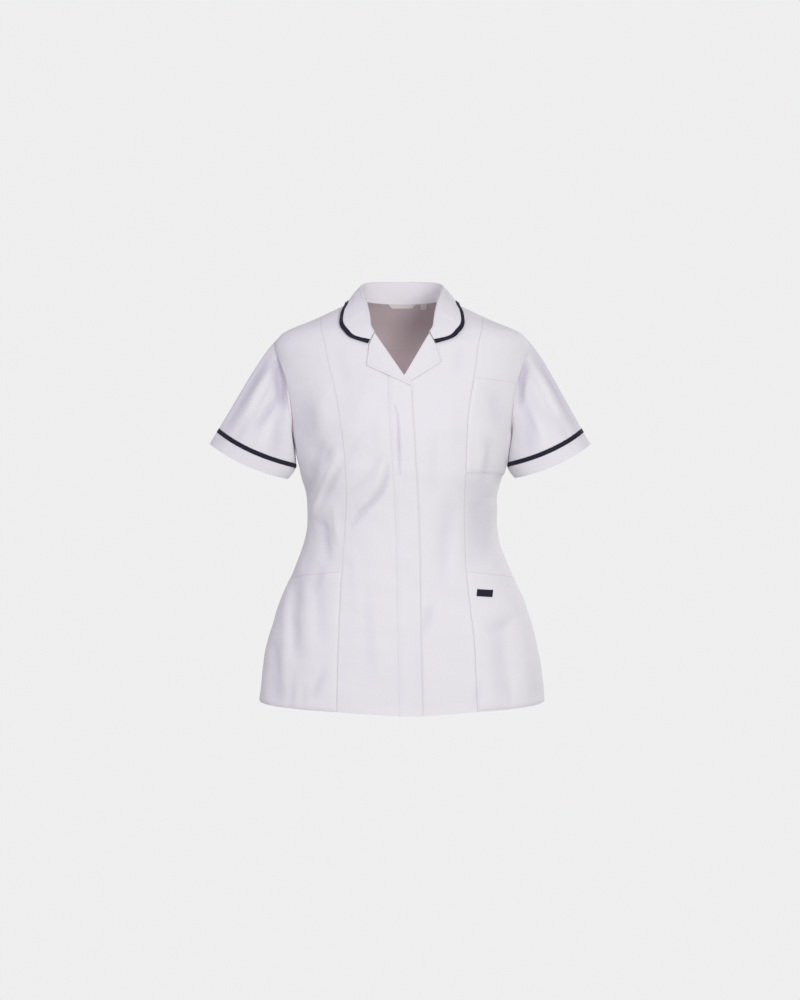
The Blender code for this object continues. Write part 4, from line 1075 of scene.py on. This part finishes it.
# The same stations: angle and height of the outer edge on the body
COLLAR_EDGE = ((180.0, -0.0220), (160.0, -0.0220), (140.0, -0.0205), (115.0, -0.0150), (90.0, -0.0105),
               (72.0, -0.0130), (59.3, -0.0188), (38.8, -0.0423), (28.1, -0.0610), (22.6, -0.0736),
               (13.6, -0.0842))
STAND_SHARES = (-0.07, 0.04, 0.12, 0.25, 0.4, 0.55, 0.7, 0.85)
FALL_SHARES = (0.08, 0.16, 0.25, 0.35, 0.45, 0.55, 0.66, 0.78, 0.9, 0.97)
BAND_SHARES = (1.0, 0.93, 0.8, 0.6, 0.4, 0.2, 0.07, 0.0)


def at_station(table, k, stations):
    """A column of a collar table, read at stations on either side of the back's centre."""
    return monotone(np.arange(len(table)), column(table, k))(np.abs(stations))


def on_body(table, stations, lift=0.0):
    """Points and normals of a line that a collar table gives as degrees and heights."""
    degrees = at_station(table, 0, stations)
    return cloth(np.radians(degrees) * np.where(stations < 0, -1, 1), at_station(table, 1, stations), lift)


def collar_profiles(stations):
    """Profiles from the neck seam over the roll to the outer edge, one for each station."""
    neck, body_out = on_body(COLLAR_NECK, stations)
    edge = on_body(COLLAR_EDGE, stations, COLLAR_REST)[0]
    roll = np.stack([at_station(COLLAR_ROLL_LINE, axis, stations) for axis in range(3)], axis=-1)
    roll[:, 0] *= np.where(stations < 0, -1, 1)
    hole = np.array([0.0, 0.0, 0.02]) - neck
    inside = turned_to(unit(np.cross(body_out, unit(np.gradient(neck, axis=0)))), hole)
    neck = neck + inside * (COLLAR_SEAM + SOLID_WALL / 2)
    up = unit(roll - neck)
    out = edge - roll
    out = unit(out - up * np.sum(out * up, axis=-1, keepdims=True))
    stand = np.linalg.norm(roll - neck, axis=-1, keepdims=True)
    radius = np.minimum(COLLAR_ROLL, stand * COLLAR_ROLL_SHARE)
    turns = np.radians(np.linspace(-90.0, 90.0, 13))
    bend = [roll + (out * np.sin(turn) - up * (1 - np.cos(turn))) * radius for turn in turns]
    rise = [neck + (bend[0] - neck) * share for share in STAND_SHARES]
    last = bend[-1]
    full = 1 - BAND_WIDTH / np.linalg.norm(edge - last, axis=-1, keepdims=True)
    bow = turned_to(unit(np.cross(np.gradient(last, axis=0), edge - last)), out) * COLLAR_BOW
    fall = [last + (edge - last) * share * full + bow * np.sin(np.pi * share) for share in FALL_SHARES]
    band = [edge - unit(edge - last) * BAND_WIDTH * share for share in BAND_SHARES]
    profile = np.array(rise + bend + fall + band)
    first_fall = len(rise) + len(bend) - 1
    profile[first_fall:] = out_of_body(profile[first_fall:], COLLAR_REST, COLLAR_EASE)
    return profile


stations = np.linspace(-COLLAR_END, COLLAR_END, 181)
middle = collar_profiles(stations)
collar_normals = unit(np.cross(np.gradient(middle, axis=1), np.gradient(middle, axis=0)))
collar_normals *= -np.sign(collar_normals[0, len(stations) // 2, 1])
outer = middle + collar_normals * SOLID_WALL / 2
cut = len(middle) - len(BAND_SHARES)
fall, fall_normals = outer[: cut + 1].copy(), collar_normals[: cut + 1]
fall[-1] -= unit(outer[cut] - outer[cut - 1]) * SEAM_INSET
fall = dipped(fall, fall_normals, ("bottom",), JOIN_DIP, JOIN_WIDTH)
band, band_normals = outer[cut:].copy(), collar_normals[cut:]
band[0] += unit(outer[cut + 1] - outer[cut]) * SEAM_INSET
far = border_distances(band)
proud = smooth(far["top"] / BAND_EDGE) - smooth(1 - far["bottom"] / 0.0006)
band = band + band_normals * (BAND_PROUD * proud)[..., None]
stitched = (("top", COLLAR_STITCH),)
wall("collar", fall, fall_normals, SOLID_WALL, ("top", "bottom"), stitched, inside_shade=False)
wall("collar_piping", band, band_normals, SOLID_WALL, ("top",), BAND_STITCH, inside_shade=False)
for border, inset in BAND_STITCH:
    inset_line("collar_piping", border, inset, 0.005, 0.995, "navy")

# %% [markdown]
# Pockets are made from the very points of the panel that they lie on, moved out. Their sides and
# bottom go into the seams, so they sink there, and only the opening stands proud.

# %% Pockets
CHEST_REACH = ((-0.140, 0.75), (-0.190, 0.65), (-0.222, 0.02), (-0.246, 0.02), (-0.275, 0.80),
               (-0.301, 0.95))
POCKET_LOW = 0.0004
POCKET_HIGH = 0.0009
POCKET_HEM = 0.018
POCKET_GAPE = 0.0010
SIDE_COLUMNS = 7
SEAM_SINK = 0.035
EDGE_SINK = 0.006


def pocket(name, rails, top, bottom, insets, reach=None, side_seam=""):
    angles, heights = (grid[top : bottom + 1] for grid in across(rails, (SIDE_COLUMNS,)))
    if reach is not None:
        last = (SIDE_COLUMNS - 1) * FINE
        keep = table_curve(reach, 1)(heights[:, -1])[:, None]
        for grid in (angles, heights):
            start = grid[:, last : last + 1]
            grid[:, last + 1 :] = start + (grid[:, last + 1 :] - start) * keep
    base, normals = cloth(*bordered(angles, heights))
    base = dipped(base, normals, ("first", "last") if reach is None else ("first",))
    far = border_distances(base)
    sinks = [far[border] / (SEAM_SINK if border == side_seam else EDGE_SINK) for border in BORDERS[1:]]
    # The opening gapes by a hair between its two ends.
    ends = np.minimum(far["first"], far["last"])
    gape = POCKET_GAPE * np.exp(-far["top"] / 0.02) * smooth(ends / 0.03)
    lift = POCKET_LOW + (CLOTH + POCKET_HIGH) * smooth(np.min(sinks, axis=0)) + gape
    points = drawn_in(base + normals * lift[..., None], normals, insets)
    thick = CLOTH * 0.8 + 0.0005 * smooth((POCKET_HEM - border_distances(points)["top"]) / 0.002)
    stitched = (("top", POCKET_HEM), ("bottom", EDGE_STITCH))
    wall(name, points, normals, thick, ("first", "last"), stitched, ("top",))
    inset_line(name, "top", POCKET_HEM, 0.01, 0.99)


last_row = len(ROWS["princess"]) - 1
chest_insets = {"top": 0.0, "bottom": 0.0005, "first": 0.0006, "last": 0.0}
hip_insets = {"top": 0.0, "bottom": 0.0012, "first": 0.0006, "last": 0.0006}
pocket("chest_pocket", left_rails, POCKET_TOP, POCKET_BOTTOM, chest_insets, CHEST_REACH)
pocket("hip_pocket_right", right_rails, HIP_TOP, last_row, hip_insets, side_seam="first")
pocket("hip_pocket_left", left_rails, HIP_TOP, last_row, hip_insets, side_seam="last")
inset_line("chest_pocket", "bottom", EDGE_STITCH, 0.01, 0.99)

# %% [markdown]
# Three small things are left: a navy tab folded into the left hip pocket, and two labels in the neck.
# All stay blank. A few columns of points are enough, because they only bend one way.

# %% Tab and labels
TAB_CENTRE = (0.1355, -0.4960)
TAB_SIZE = (0.0262, 0.0115)
TAB_TILT = -0.09
TAB_WALL = 0.0008
TAB_EDGE = 0.0003
LABEL_WALL = 0.0005
LABEL_STITCH = 0.0010
# Name, stations where it starts and ends, how far it hangs, how much narrower it ends, columns
LABELS = (("neck_label", -0.95, 0.95, 0.0066, 0.28, 25), ("size_tab", 1.30, 1.86, 0.0092, 0.0, 13))

along = np.linspace(-0.5, 0.5, 17)[None, :] * TAB_SIZE[0]
down = np.linspace(0.5, -0.5, 9)[:, None] * TAB_SIZE[1]
x = TAB_CENTRE[0] + along - TAB_TILT * down
heights = TAB_CENTRE[1] + down + TAB_TILT * along
edge = np.minimum(np.abs(np.abs(along) - TAB_SIZE[0] / 2), np.abs(np.abs(down) - TAB_SIZE[1] / 2))
lift = CLOTH + POCKET_LOW + POCKET_HIGH + 0.0003 + TAB_WALL - TAB_EDGE * np.exp(-edge / 0.0008)
points, normals = cloth(angle_at(x, heights), heights, lift)
stitched = (("first", EDGE_STITCH), ("last", EDGE_STITCH))
wall("pocket_tab", points, normals, TAB_WALL, (), stitched)
for border, inset in stitched:
    inset_line("pocket_tab", border, inset, 0.08, 0.92, "navy")

for name, start, end, depth, taper, columns in LABELS:
    places = np.linspace(start, end, columns)
    angles = np.radians(at_station(COLLAR_NECK, 0, places)) * np.where(places < 0, -1, 1)
    seam_heights = at_station(COLLAR_NECK, 1, places)
    share = np.linspace(0.0, 1.0, 7)[:, None]
    heights = seam_heights - 0.0006 - depth * share
    sewn_x = ring_point(angles, seam_heights)[:, 0]
    x = sewn_x.mean() + (sewn_x - sewn_x.mean()) * (1 - taper * share)
    points, normals = cloth(np.where(x < 0, -np.pi, np.pi) - angle_at(x, heights), heights)
    points = points - normals * (CLOTH + 0.0003 + LABEL_WALL)
    stitched = [(border, LABEL_STITCH) for border in UPRIGHT]
    wall(name, points, -normals, LABEL_WALL, (), stitched, ("bottom", "first", "last"))

# %% [markdown]
# Thread. Each stitch is the same short, fat lozenge, so Geometry Nodes can lay thousands of them: the tree
# turns a line into points one stitch apart and puts a lozenge on each, turned along the line and flat
# on the cloth. Its inputs are named after what a tailor would set. Every node tree from here on is built
# with two small helpers: node makes one node and feed fills its inputs.

# %% Stitches by Geometry Nodes
STITCH = {"Stitch Spacing": 0.0028, "Stitch Length": 0.0021, "Thread Width": 0.00045}
THREAD_LIFT = 0.00012
LOZENGE = {"Segments": 6, "Rings": 4, "Radius": 0.5}


def feed(tree, target, values):
    """Links each named input of a node to an output, or sets it to a plain value."""
    for label, value in values.items():
        if isinstance(value, bpy.types.NodeSocket):
            tree.links.new(value, target.inputs[label])
        else:
            target.inputs[label].default_value = value


def node(tree, kind, inputs=None, **settings):
    """A new node with its settings made and its inputs fed."""
    added = tree.nodes.new(kind)
    for label, value in settings.items():
        setattr(added, label, value)
    feed(tree, added, inputs or {})
    return added


def group(name, inputs, outputs, kind="ShaderNodeTree"):
    """A node group with its sockets. Returns the tree, the outputs of its input node, and its output node."""
    tree = bpy.data.node_groups.new(name, kind)
    for label, value in inputs.items():
        sort = "NodeSocketGeometry" if value is None else "NodeSocketFloat"
        added = tree.interface.new_socket(label, in_out="INPUT", socket_type=sort)
        if value is not None:
            added.default_value = value
    for label, sort in outputs.items():
        tree.interface.new_socket(label, in_out="OUTPUT", socket_type=sort)
    return tree, tree.nodes.new("NodeGroupInput").outputs, tree.nodes.new("NodeGroupOutput")


def stitch_tree(thread):
    inputs = {"Lines": None} | STITCH
    outputs = {"Stitches": "NodeSocketGeometry"}
    tree, given, result = group("lay_stitches", inputs, outputs, "GeometryNodeTree")
    turn = "FunctionNodeAlignRotationToVector"
    line = node(tree, "GeometryNodeMeshToCurve", {"Mesh": given["Lines"]}).outputs["Curve"]
    spacing = {"Curve": line, "Length": given["Stitch Spacing"]}
    spaced = node(tree, "GeometryNodeResampleCurve", spacing, mode="LENGTH").outputs["Curve"]
    up = node(tree, "GeometryNodeInputNamedAttribute", {"Name": "up"}, data_type="FLOAT_VECTOR")
    tangent = node(tree, "GeometryNodeInputTangent").outputs["Tangent"]
    along_line = node(tree, turn, {"Vector": tangent}, axis="X").outputs["Rotation"]
    lying = {"Rotation": along_line, "Vector": up.outputs["Attribute"]}
    flat_down = node(tree, turn, lying, axis="Z", pivot_axis="X")
    ball = node(tree, "GeometryNodeMeshUVSphere", LOZENGE).outputs["Mesh"]
    width = given["Thread Width"]
    size = node(tree, "ShaderNodeCombineXYZ", {"X": given["Stitch Length"], "Y": width, "Z": width})
    lay = node(tree, "GeometryNodeInstanceOnPoints", {
        "Points": spaced, "Instance": ball, "Rotation": flat_down.outputs["Rotation"],
        "Scale": size.outputs["Vector"],
    })
    real = node(tree, "GeometryNodeRealizeInstances", {"Geometry": lay.outputs["Instances"]})
    paint = node(tree, "GeometryNodeSetMaterial", {"Geometry": real.outputs["Geometry"], "Material": thread})
    feed(tree, result, {"Stitches": paint.outputs["Geometry"]})
    return tree


def sew(name, runs, thread):
    """Lays stitches along runs of points and returns them as one plain mesh."""
    ups = np.concatenate([run[1] for run in runs])
    points = np.concatenate([run[0] for run in runs]) + ups * THREAD_LIFT
    edges = []
    first = 0
    for run, _, _ in runs:
        edges += [(first + k, first + k + 1) for k in range(len(run) - 1)]
        first += len(run)
    mesh = bpy.data.meshes.new(name + "_lines")
    mesh.from_pydata(points.tolist(), edges, [])
    kept = mesh.attributes.new("up", "FLOAT_VECTOR", "POINT")
    kept.data.foreach_set("vector", ups.astype(np.float32).ravel())
    lines = add_object(name + "_lines", mesh)
    modifier = lines.modifiers.new("Stitches", "NODES")
    modifier.node_group = stitch_tree(thread)
    for item in modifier.node_group.interface.items_tree:
        if item.item_type == "SOCKET" and item.in_out == "INPUT" and item.name in STITCH:
            modifier[item.identifier] = STITCH[item.name]
    graph = bpy.context.evaluated_depsgraph_get()
    result = bpy.data.meshes.new_from_object(lines.evaluated_get(graph), depsgraph=graph)
    lines.modifiers.remove(modifier)
    bpy.data.objects.remove(lines)
    result.name = name
    result.shade_smooth()
    print(name, "stitches:", len(result.polygons) // (LOZENGE["Segments"] * LOZENGE["Rings"]))
    return add_object(name, result)


for name in ("front_right", "front_left", "side_front_right", "side_front_left", "back_body"):
    inset_line(name, "bottom", HEM_TURN, 0.002, 0.998)
inset_line("back_yoke", "bottom", YOKE_STITCH, 0.002, 0.998)
inset_line("cuff_right", "bottom", HEM_TURN, 0.002, 0.998)
inset_line("cuff_left", "bottom", HEM_TURN, 0.002, 0.998)
inset_line("collar", "top", COLLAR_STITCH, 0.002, 0.998)
print("lines for thread:", len(thread_runs))

# %% [markdown]
# White cloth is never one flat white. Three things change it: the twill's fine diagonal ribs, a slow
# drift of tone where it was pressed, and the painted shade and puckers beside each seam.
# Each is a shader node group, built once, so that white cloth, navy cloth and labels can share them.
# All read the UV map, which is in metres, or the two distances kept on the mesh.

# %% Shader node groups
FULL_TURN = 6.2832
NATURAL = 2.718


def math(tree, operation, *values):
    """A Math node fed by sockets or plain numbers. Returns its output."""
    return node(tree, "ShaderNodeMath", dict(enumerate(values)), operation=operation).outputs["Value"]


def times(tree, *values):
    """All the values multiplied, from the first on."""
    product = values[0]
    for value in values[1:]:
        product = math(tree, "MULTIPLY", product, value)
    return product


def bell(tree, distance, width):
    """1 where the distance is nothing, fading to 0 over about the width."""
    past = math(tree, "DIVIDE", distance, width)
    return math(tree, "POWER", NATURAL, times(tree, past, past, -1.0))


def noise(tree, place, scale, detail):
    values = {"Vector": place, "Scale": scale, "Detail": detail}
    return node(tree, "ShaderNodeTexNoise", values).outputs["Fac"]


def cloth_chart(tree):
    return node(tree, "ShaderNodeUVMap", uv_map="UVMap").outputs["UV"]


def kept_value(tree, label):
    return node(tree, "ShaderNodeAttribute", attribute_name=label).outputs["Fac"]


def twill_group():
    """Diagonal ribs with single threads across them. Height is 0 to 1 and Shade is darkest between ribs."""
    inputs = {"Threads per Metre": 1900.0, "Unevenness": 0.35}
    outputs = dict.fromkeys(("Height", "Shade"), "NodeSocketFloat")
    tree, given, result = group("twill_weave", inputs, outputs)
    chart = cloth_chart(tree)
    split = node(tree, "ShaderNodeSeparateXYZ", {"Vector": chart}).outputs
    u, v = (times(tree, split[axis], given["Threads per Metre"], FULL_TURN) for axis in "XY")
    rib = math(tree, "SINE", times(tree, math(tree, "ADD", u, v), 0.3333))
    threads = times(tree, math(tree, "SINE", u), math(tree, "SINE", v))
    slub = math(tree, "SUBTRACT", noise(tree, chart, 220.0, 2.0), 0.5)
    height = math(tree, "ADD", times(tree, rib, 0.3), times(tree, threads, 0.2))
    height = math(tree, "ADD", math(tree, "ADD", height, times(tree, slub, given["Unevenness"])), 0.5)
    feed(tree, result, {"Height": height, "Shade": math(tree, "SUBTRACT", 1.0, height)})
    return tree


def seam_group():
    """The pressed-in seam, the stitch groove and the puckers between. Height is in millimetres. Shade is
    painted shade beside seams, stitch lines and free edges.
    """
    inputs = {"Stitch Groove": 0.16, "Pucker": 0.22, "Seam Shade": 0.5, "Edge Shade": 0.5}
    outputs = dict.fromkeys(("Height", "Shade"), "NodeSocketFloat")
    tree, given, result = group("sewn_seam", inputs, outputs)
    seam, stitch, free = (kept_value(tree, label) for label in ("seam", "stitch", "edge"))
    groove = times(tree, bell(tree, stitch, 0.0007), given["Stitch Groove"])
    ripple = math(tree, "SUBTRACT", noise(tree, cloth_chart(tree), 85.0, 1.5), 0.5)
    near = math(tree, "MAXIMUM", bell(tree, seam, 0.010), bell(tree, stitch, 0.009))
    pucker = times(tree, near, ripple, given["Pucker"])
    # Painted shade: a line along each seam, a fainter one along each stitch line, and one along free edges.
    seam_line_shade = times(tree, bell(tree, seam, 0.0008), given["Seam Shade"])
    stitch_line_shade = times(tree, bell(tree, stitch, 0.0006), times(tree, given["Seam Shade"], 0.5))
    turned = times(tree, bell(tree, free, 0.0007), given["Edge Shade"])
    shade = math(tree, "MAXIMUM", math(tree, "MAXIMUM", seam_line_shade, stitch_line_shade), turned)
    feed(tree, result, {"Height": math(tree, "SUBTRACT", pucker, groove), "Shade": shade})
    return tree


def drift_group():
    """Slow changes of tone over a whole piece, and small soft bumps left by pressing."""
    outputs = dict.fromkeys(("Tone", "Height"), "NodeSocketFloat")
    tree, given, result = group("pressed_cloth", {"Patch Scale": 14.0}, outputs)
    place = node(tree, "ShaderNodeTexCoord").outputs["Object"]
    for output, finer in (("Tone", 1.0), ("Height", 1.3)):
        feed(tree, result, {output: noise(tree, place, times(tree, given["Patch Scale"], finer), 2.0)})
    return tree


twill = twill_group()
sewn = seam_group()
drift = drift_group()
print("node groups:", [tree.name for tree in (twill, sewn, drift)])

# %% [markdown]
# The finishes. The three groups only give heights and masks. Each material mixes them into its own colours
# and feeds two bumps, a coarse one for seams and a fine one for the weave. Polyester and cotton twill is
# matt with a faint sheen, so roughness stays high everywhere.

# %% Cloth materials
# Painted shade on the inside of the cloth
PAINTED_INSIDE_SHADE = (0.465, 0.405, 0.415)
# Painted shade in the troughs of the creases
PAINTED_CREASE_SHADE = (0.80, 0.78, 0.845)
# Painted shade beside seams, stitch lines and free edges
PAINTED_SEAM_SHADE = (0.62, 0.62, 0.62)
THREAD_TINT = (0.9, 0.9, 0.9)
# Painted light: a glow on the inside of the cloth, standing in for light that comes through it
PAINTED_GLOW_COLOUR = (1.0, 0.84, 0.86)
PAINTED_GLOW = 0.19
PAINTED_GLOW_LEAST = 0.33
PAINTED_GLOW_HEIGHTS = (-0.095, -0.035)
WEAVE_TONE = 0.10
DRIFT_START = 0.35
PRESSED_BUMPS = 2.6


def mix(tree, factor, first, second, blend="MIX"):
    colours = [(*colour, 1.0) if isinstance(colour, tuple) else colour for colour in (first, second)]
    values = dict(zip((0, 6, 7), (factor, *colours)))
    return node(tree, "ShaderNodeMix", values, data_type="RGBA", blend_type=blend).outputs[2]


def tinted(colour, tint):
    return tuple(a * b for a, b in zip(colour, tint))


def new_material(name):
    made_of = bpy.data.materials.new(name)
    made_of.use_nodes = True
    return made_of, made_of.node_tree


def cloth_colour(tree, weave, seam, tone, colour, tone_and_shade):
    """The colour of the cloth, darker between ribs, with painted shade in troughs and seams and on the
    inside.
    """
    base = mix(tree, math(tree, "MAXIMUM", tone, 0.0), colour, tone_and_shade)
    base = mix(tree, times(tree, weave, WEAVE_TONE), base, tone_and_shade)
    base = mix(tree, kept_value(tree, "painted_shade"), base, tinted(tone_and_shade, PAINTED_CREASE_SHADE))
    base = mix(tree, seam, base, tinted(tone_and_shade, PAINTED_SEAM_SHADE))
    return mix(tree, kept_value(tree, "inside"), base, PAINTED_INSIDE_SHADE, "MULTIPLY")


def painted_inside_glow(tree, through):
    """Painted light: a glow on the inside of thin cloth, standing in for the light that comes through it,
    strongest low down.
    """
    place = node(tree, "ShaderNodeTexCoord").outputs["Object"]
    height = node(tree, "ShaderNodeSeparateXYZ", {"Vector": place}).outputs["Z"]
    low, high = PAINTED_GLOW_HEIGHTS
    ends = {"From Min": low, "From Max": high, "To Min": through, "To Max": PAINTED_GLOW_LEAST * through}
    lower = node(tree, "ShaderNodeMapRange", {"Value": height} | ends).outputs["Result"]
    return times(tree, kept_value(tree, "inside"), lower)


# The last argument sets the strength of the painted glow on the inside of the cloth.
def cloth_material(name, colour, tone_and_shade, threads, weave_depth, roughness, sheen, drift_amount,
                   seam_shade, through=0.0):
    made_of, tree = new_material(name)
    weave = node(tree, "ShaderNodeGroup", {"Threads per Metre": threads}, node_tree=twill)
    seams = node(tree, "ShaderNodeGroup", {"Seam Shade": seam_shade}, node_tree=sewn)
    slow = node(tree, "ShaderNodeGroup", node_tree=drift)
    weave, seams, slow = weave.outputs, seams.outputs, slow.outputs
    tone = times(tree, math(tree, "SUBTRACT", slow["Tone"], DRIFT_START), drift_amount)
    soft = times(tree, slow["Height"], PRESSED_BUMPS)
    coarse = node(tree, "ShaderNodeBump", {
        "Strength": 1.0, "Distance": 0.001, "Height": math(tree, "ADD", seams["Height"], soft),
    })
    fine_bump = node(tree, "ShaderNodeBump", {
        "Strength": 0.6, "Distance": weave_depth, "Height": weave["Height"],
        "Normal": coarse.outputs["Normal"],
    })
    feed(tree, tree.nodes["Principled BSDF"], {
        "Base Color": cloth_colour(tree, weave["Shade"], seams["Shade"], tone, colour, tone_and_shade),
        "Roughness": math(tree, "ADD", roughness - 0.04, times(tree, weave["Shade"], 0.08)),
        "Sheen Weight": sheen,
        "Sheen Roughness": 0.5,
        "Specular IOR Level": 0.3,
        # Painted light: a faint glow on the inside of the cloth.
        "Emission Color": (*PAINTED_GLOW_COLOUR, 1.0),
        "Emission Strength": painted_inside_glow(tree, through),
        "Normal": fine_bump.outputs["Normal"],
    })
    return made_of


def thread_material(name, colour):
    made_of, tree = new_material(name)
    place = node(tree, "ShaderNodeTexCoord").outputs["Object"]
    twist = node(tree, "ShaderNodeTexNoise", {"Vector": place, "Scale": 3000.0}).outputs["Fac"]
    base = mix(tree, twist, colour, tinted(colour, THREAD_TINT))
    feed(tree, tree.nodes["Principled BSDF"], {"Base Color": base, "Roughness": 0.55})
    return made_of


# Each cloth's second colour is darker: the far end of its random drift of tone, and the base of its painted
# shade.
WHITE = (0.87, 0.86, 0.885)
WHITE_TONE_AND_SHADE = (0.80, 0.79, 0.84)
NAVY = (0.011, 0.012, 0.030)
NAVY_TONE_AND_SHADE = (0.006, 0.006, 0.018)
LABEL_GREY = (0.78, 0.76, 0.73)
LABEL_TONE_AND_SHADE = (0.66, 0.64, 0.61)
# Threads to the metre, depth of the weave, roughness, sheen, drift of tone, painted shade in the seams,
# painted glow inside
white_cloth = cloth_material("white_twill", WHITE, WHITE_TONE_AND_SHADE, 1900.0, 0.00008, 0.82, 0.12, 0.5, 0.36,
                             PAINTED_GLOW)
navy_cloth = cloth_material("navy_band_cloth", NAVY, NAVY_TONE_AND_SHADE, 1700.0, 0.00008, 0.74, 0.08, 0.6, 0.3)
label_cloth = cloth_material("label_satin", LABEL_GREY, LABEL_TONE_AND_SHADE, 3200.0, 0.00004, 0.52, 0.0, 0.4, 0.3)
white_thread = thread_material("white_thread", (0.90, 0.89, 0.92))
navy_thread = thread_material("navy_thread", (0.016, 0.018, 0.042))
print("materials:", [m.name for m in (white_cloth, navy_cloth, label_cloth, white_thread, navy_thread)])

# %% [markdown]
# Now every piece gets its finish, rides on the one body, and takes its solid's place. The cut of each
# piece is measured on the finished grid, because a panel is never longer than its cloth.

FINISH = {"navy_cloth": navy_cloth, "label_cloth": label_cloth, "white_cloth": white_cloth}


def slot_of(name):
    if "piping" in name or name == "pocket_tab":
        return "navy_cloth"
    return "label_cloth" if name in ("neck_label", "size_tab") else "white_cloth"


for name, facts in made.items():
    piece = facts["piece"]
    slot = slot_of(name)
    piece.data.materials.append(FINISH[slot])
    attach(piece, "root")
    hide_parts(name)

threads = {}
for colour, thread, slot in (("white", white_thread, "white_cloth"), ("navy", navy_thread, "navy_cloth")):
    threads[colour] = sew(f"stitches_{colour}", [run for run in thread_runs if run[2] == colour], thread)
    threads[colour].data.materials.clear()
    threads[colour].data.materials.append(thread)
    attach(threads[colour], "root")

# Bands and labels are too narrow to be sheets of their own. For every other piece this loop only reads
# its flat size and gathers the trimmings and thread sewn to it; nothing more is done with them.
TRIMMINGS = {
    "collar": ("collar_piping", "neck_label", "size_tab"),
    "cuff_right": ("sleeve_piping_right",),
    "cuff_left": ("sleeve_piping_left",),
}
narrow = [name for names in TRIMMINGS.values() for name in names]
for name, facts in made.items():
    if name in narrow:
        continue
    width, length = facts["flat"]
    extra = [made[trim]["piece"] for trim in TRIMMINGS.get(name, ())]
    extra += {"front_right": [threads["white"]], "collar": [threads["navy"]]}.get(name, [])
print("pieces:", len(made))

# %% [markdown]
# The studio. The photograph is a plain pale one: even light grey all round, a broad soft light from the
# front and a little from the right. The camera stands level with the garment's middle, far enough away
# that the sides are seen as the photograph shows them.

# %% Floor, lights and camera
FLOOR_HEIGHT = -1.32
FLOOR_REACH = 60
BACKGROUND = 0.86
FLOOR_CAST = 0.35
AMBIENT = 0.50
AMBIENT_TINT = (0.975, 0.935, 1.03)
SEEN_TINT = (1.0, 1.0, 1.0)


def seen_or_cast(tree, seen, cast):
    """One strength for what looks at it directly, and another for the light that it throws."""
    direct = node(tree, "ShaderNodeLightPath").outputs["Is Camera Ray"]
    return math(tree, "ADD", cast, times(tree, direct, seen - cast)), direct


pale, tree = new_material("pale_floor")
tree.nodes.clear()
strength, _ = seen_or_cast(tree, BACKGROUND, FLOOR_CAST)
light = node(tree, "ShaderNodeEmission", {"Strength": strength})
node(tree, "ShaderNodeOutputMaterial", {"Surface": light.outputs["Emission"]})
floor_mesh = bpy.data.meshes.new("floor")
floor_corners = [
    (a * FLOOR_REACH, b * FLOOR_REACH, FLOOR_HEIGHT) for a, b in ((-1, -1), (1, -1), (1, 1), (-1, 1))
]
floor_mesh.from_pydata(floor_corners, [], [(0, 1, 2, 3)])
floor = add_object("floor", floor_mesh)
floor.data.materials.append(pale)

world = bpy.data.worlds.new("studio")
bpy.context.scene.world = world
world.use_nodes = True
tree = world.node_tree
strength, direct = seen_or_cast(tree, BACKGROUND, AMBIENT)
feed(tree, tree.nodes["Background"], {
    "Strength": strength, "Color": mix(tree, direct, AMBIENT_TINT, SEEN_TINT),
})

# name, place, width, height, power, colour
LIGHTS = (
    ("key", (1.1, -3.0, 0.0), 0.9, 0.9, 45.5, (1.0, 0.985, 0.965)),
    ("fill", (-2.8, -1.8, 0.1), 1.2, 1.6, 18.0, (0.92, 0.87, 1.0)),
    ("behind", (2.2, 2.6, 0.3), 1.0, 1.2, 34.0, (1.0, 0.99, 0.98)),
)
LIGHT_AIM = (0.0, 0.0, -0.35)


def aimed(thing, place, aim):
    from_to = np.array(aim, float) - np.array(place, float)
    heading = np.arctan2(from_to[0], from_to[1])
    climb = np.arctan2(from_to[2], np.hypot(from_to[0], from_to[1]))
    thing.location = place
    thing.rotation_euler = (np.pi / 2 + climb, 0.0, -heading)


for name, place, width, height, power, colour in LIGHTS:
    lamp = bpy.data.lights.new(name, "AREA")
    lamp.shape = "RECTANGLE"
    lamp.size = width
    lamp.size_y = height
    lamp.energy = power
    lamp.color = colour
    aimed(add_object(name, lamp), place, LIGHT_AIM)

CAMERA_PLACE = (-0.0034, -3.2, -0.342)
FRAME_HEIGHT = 1.70
SENSOR = 36.0
camera = bpy.data.cameras.new("camera")
camera.sensor_fit = "VERTICAL"
camera.sensor_height = SENSOR
camera.lens = SENSOR * -CAMERA_PLACE[1] / FRAME_HEIGHT
viewer = add_object("camera", camera)
aimed(viewer, CAMERA_PLACE, (CAMERA_PLACE[0], 0.0, CAMERA_PLACE[2]))
bpy.context.scene.camera = viewer
bpy.context.scene.view_settings.view_transform = "Standard"
print("lens:", round(camera.lens, 2))
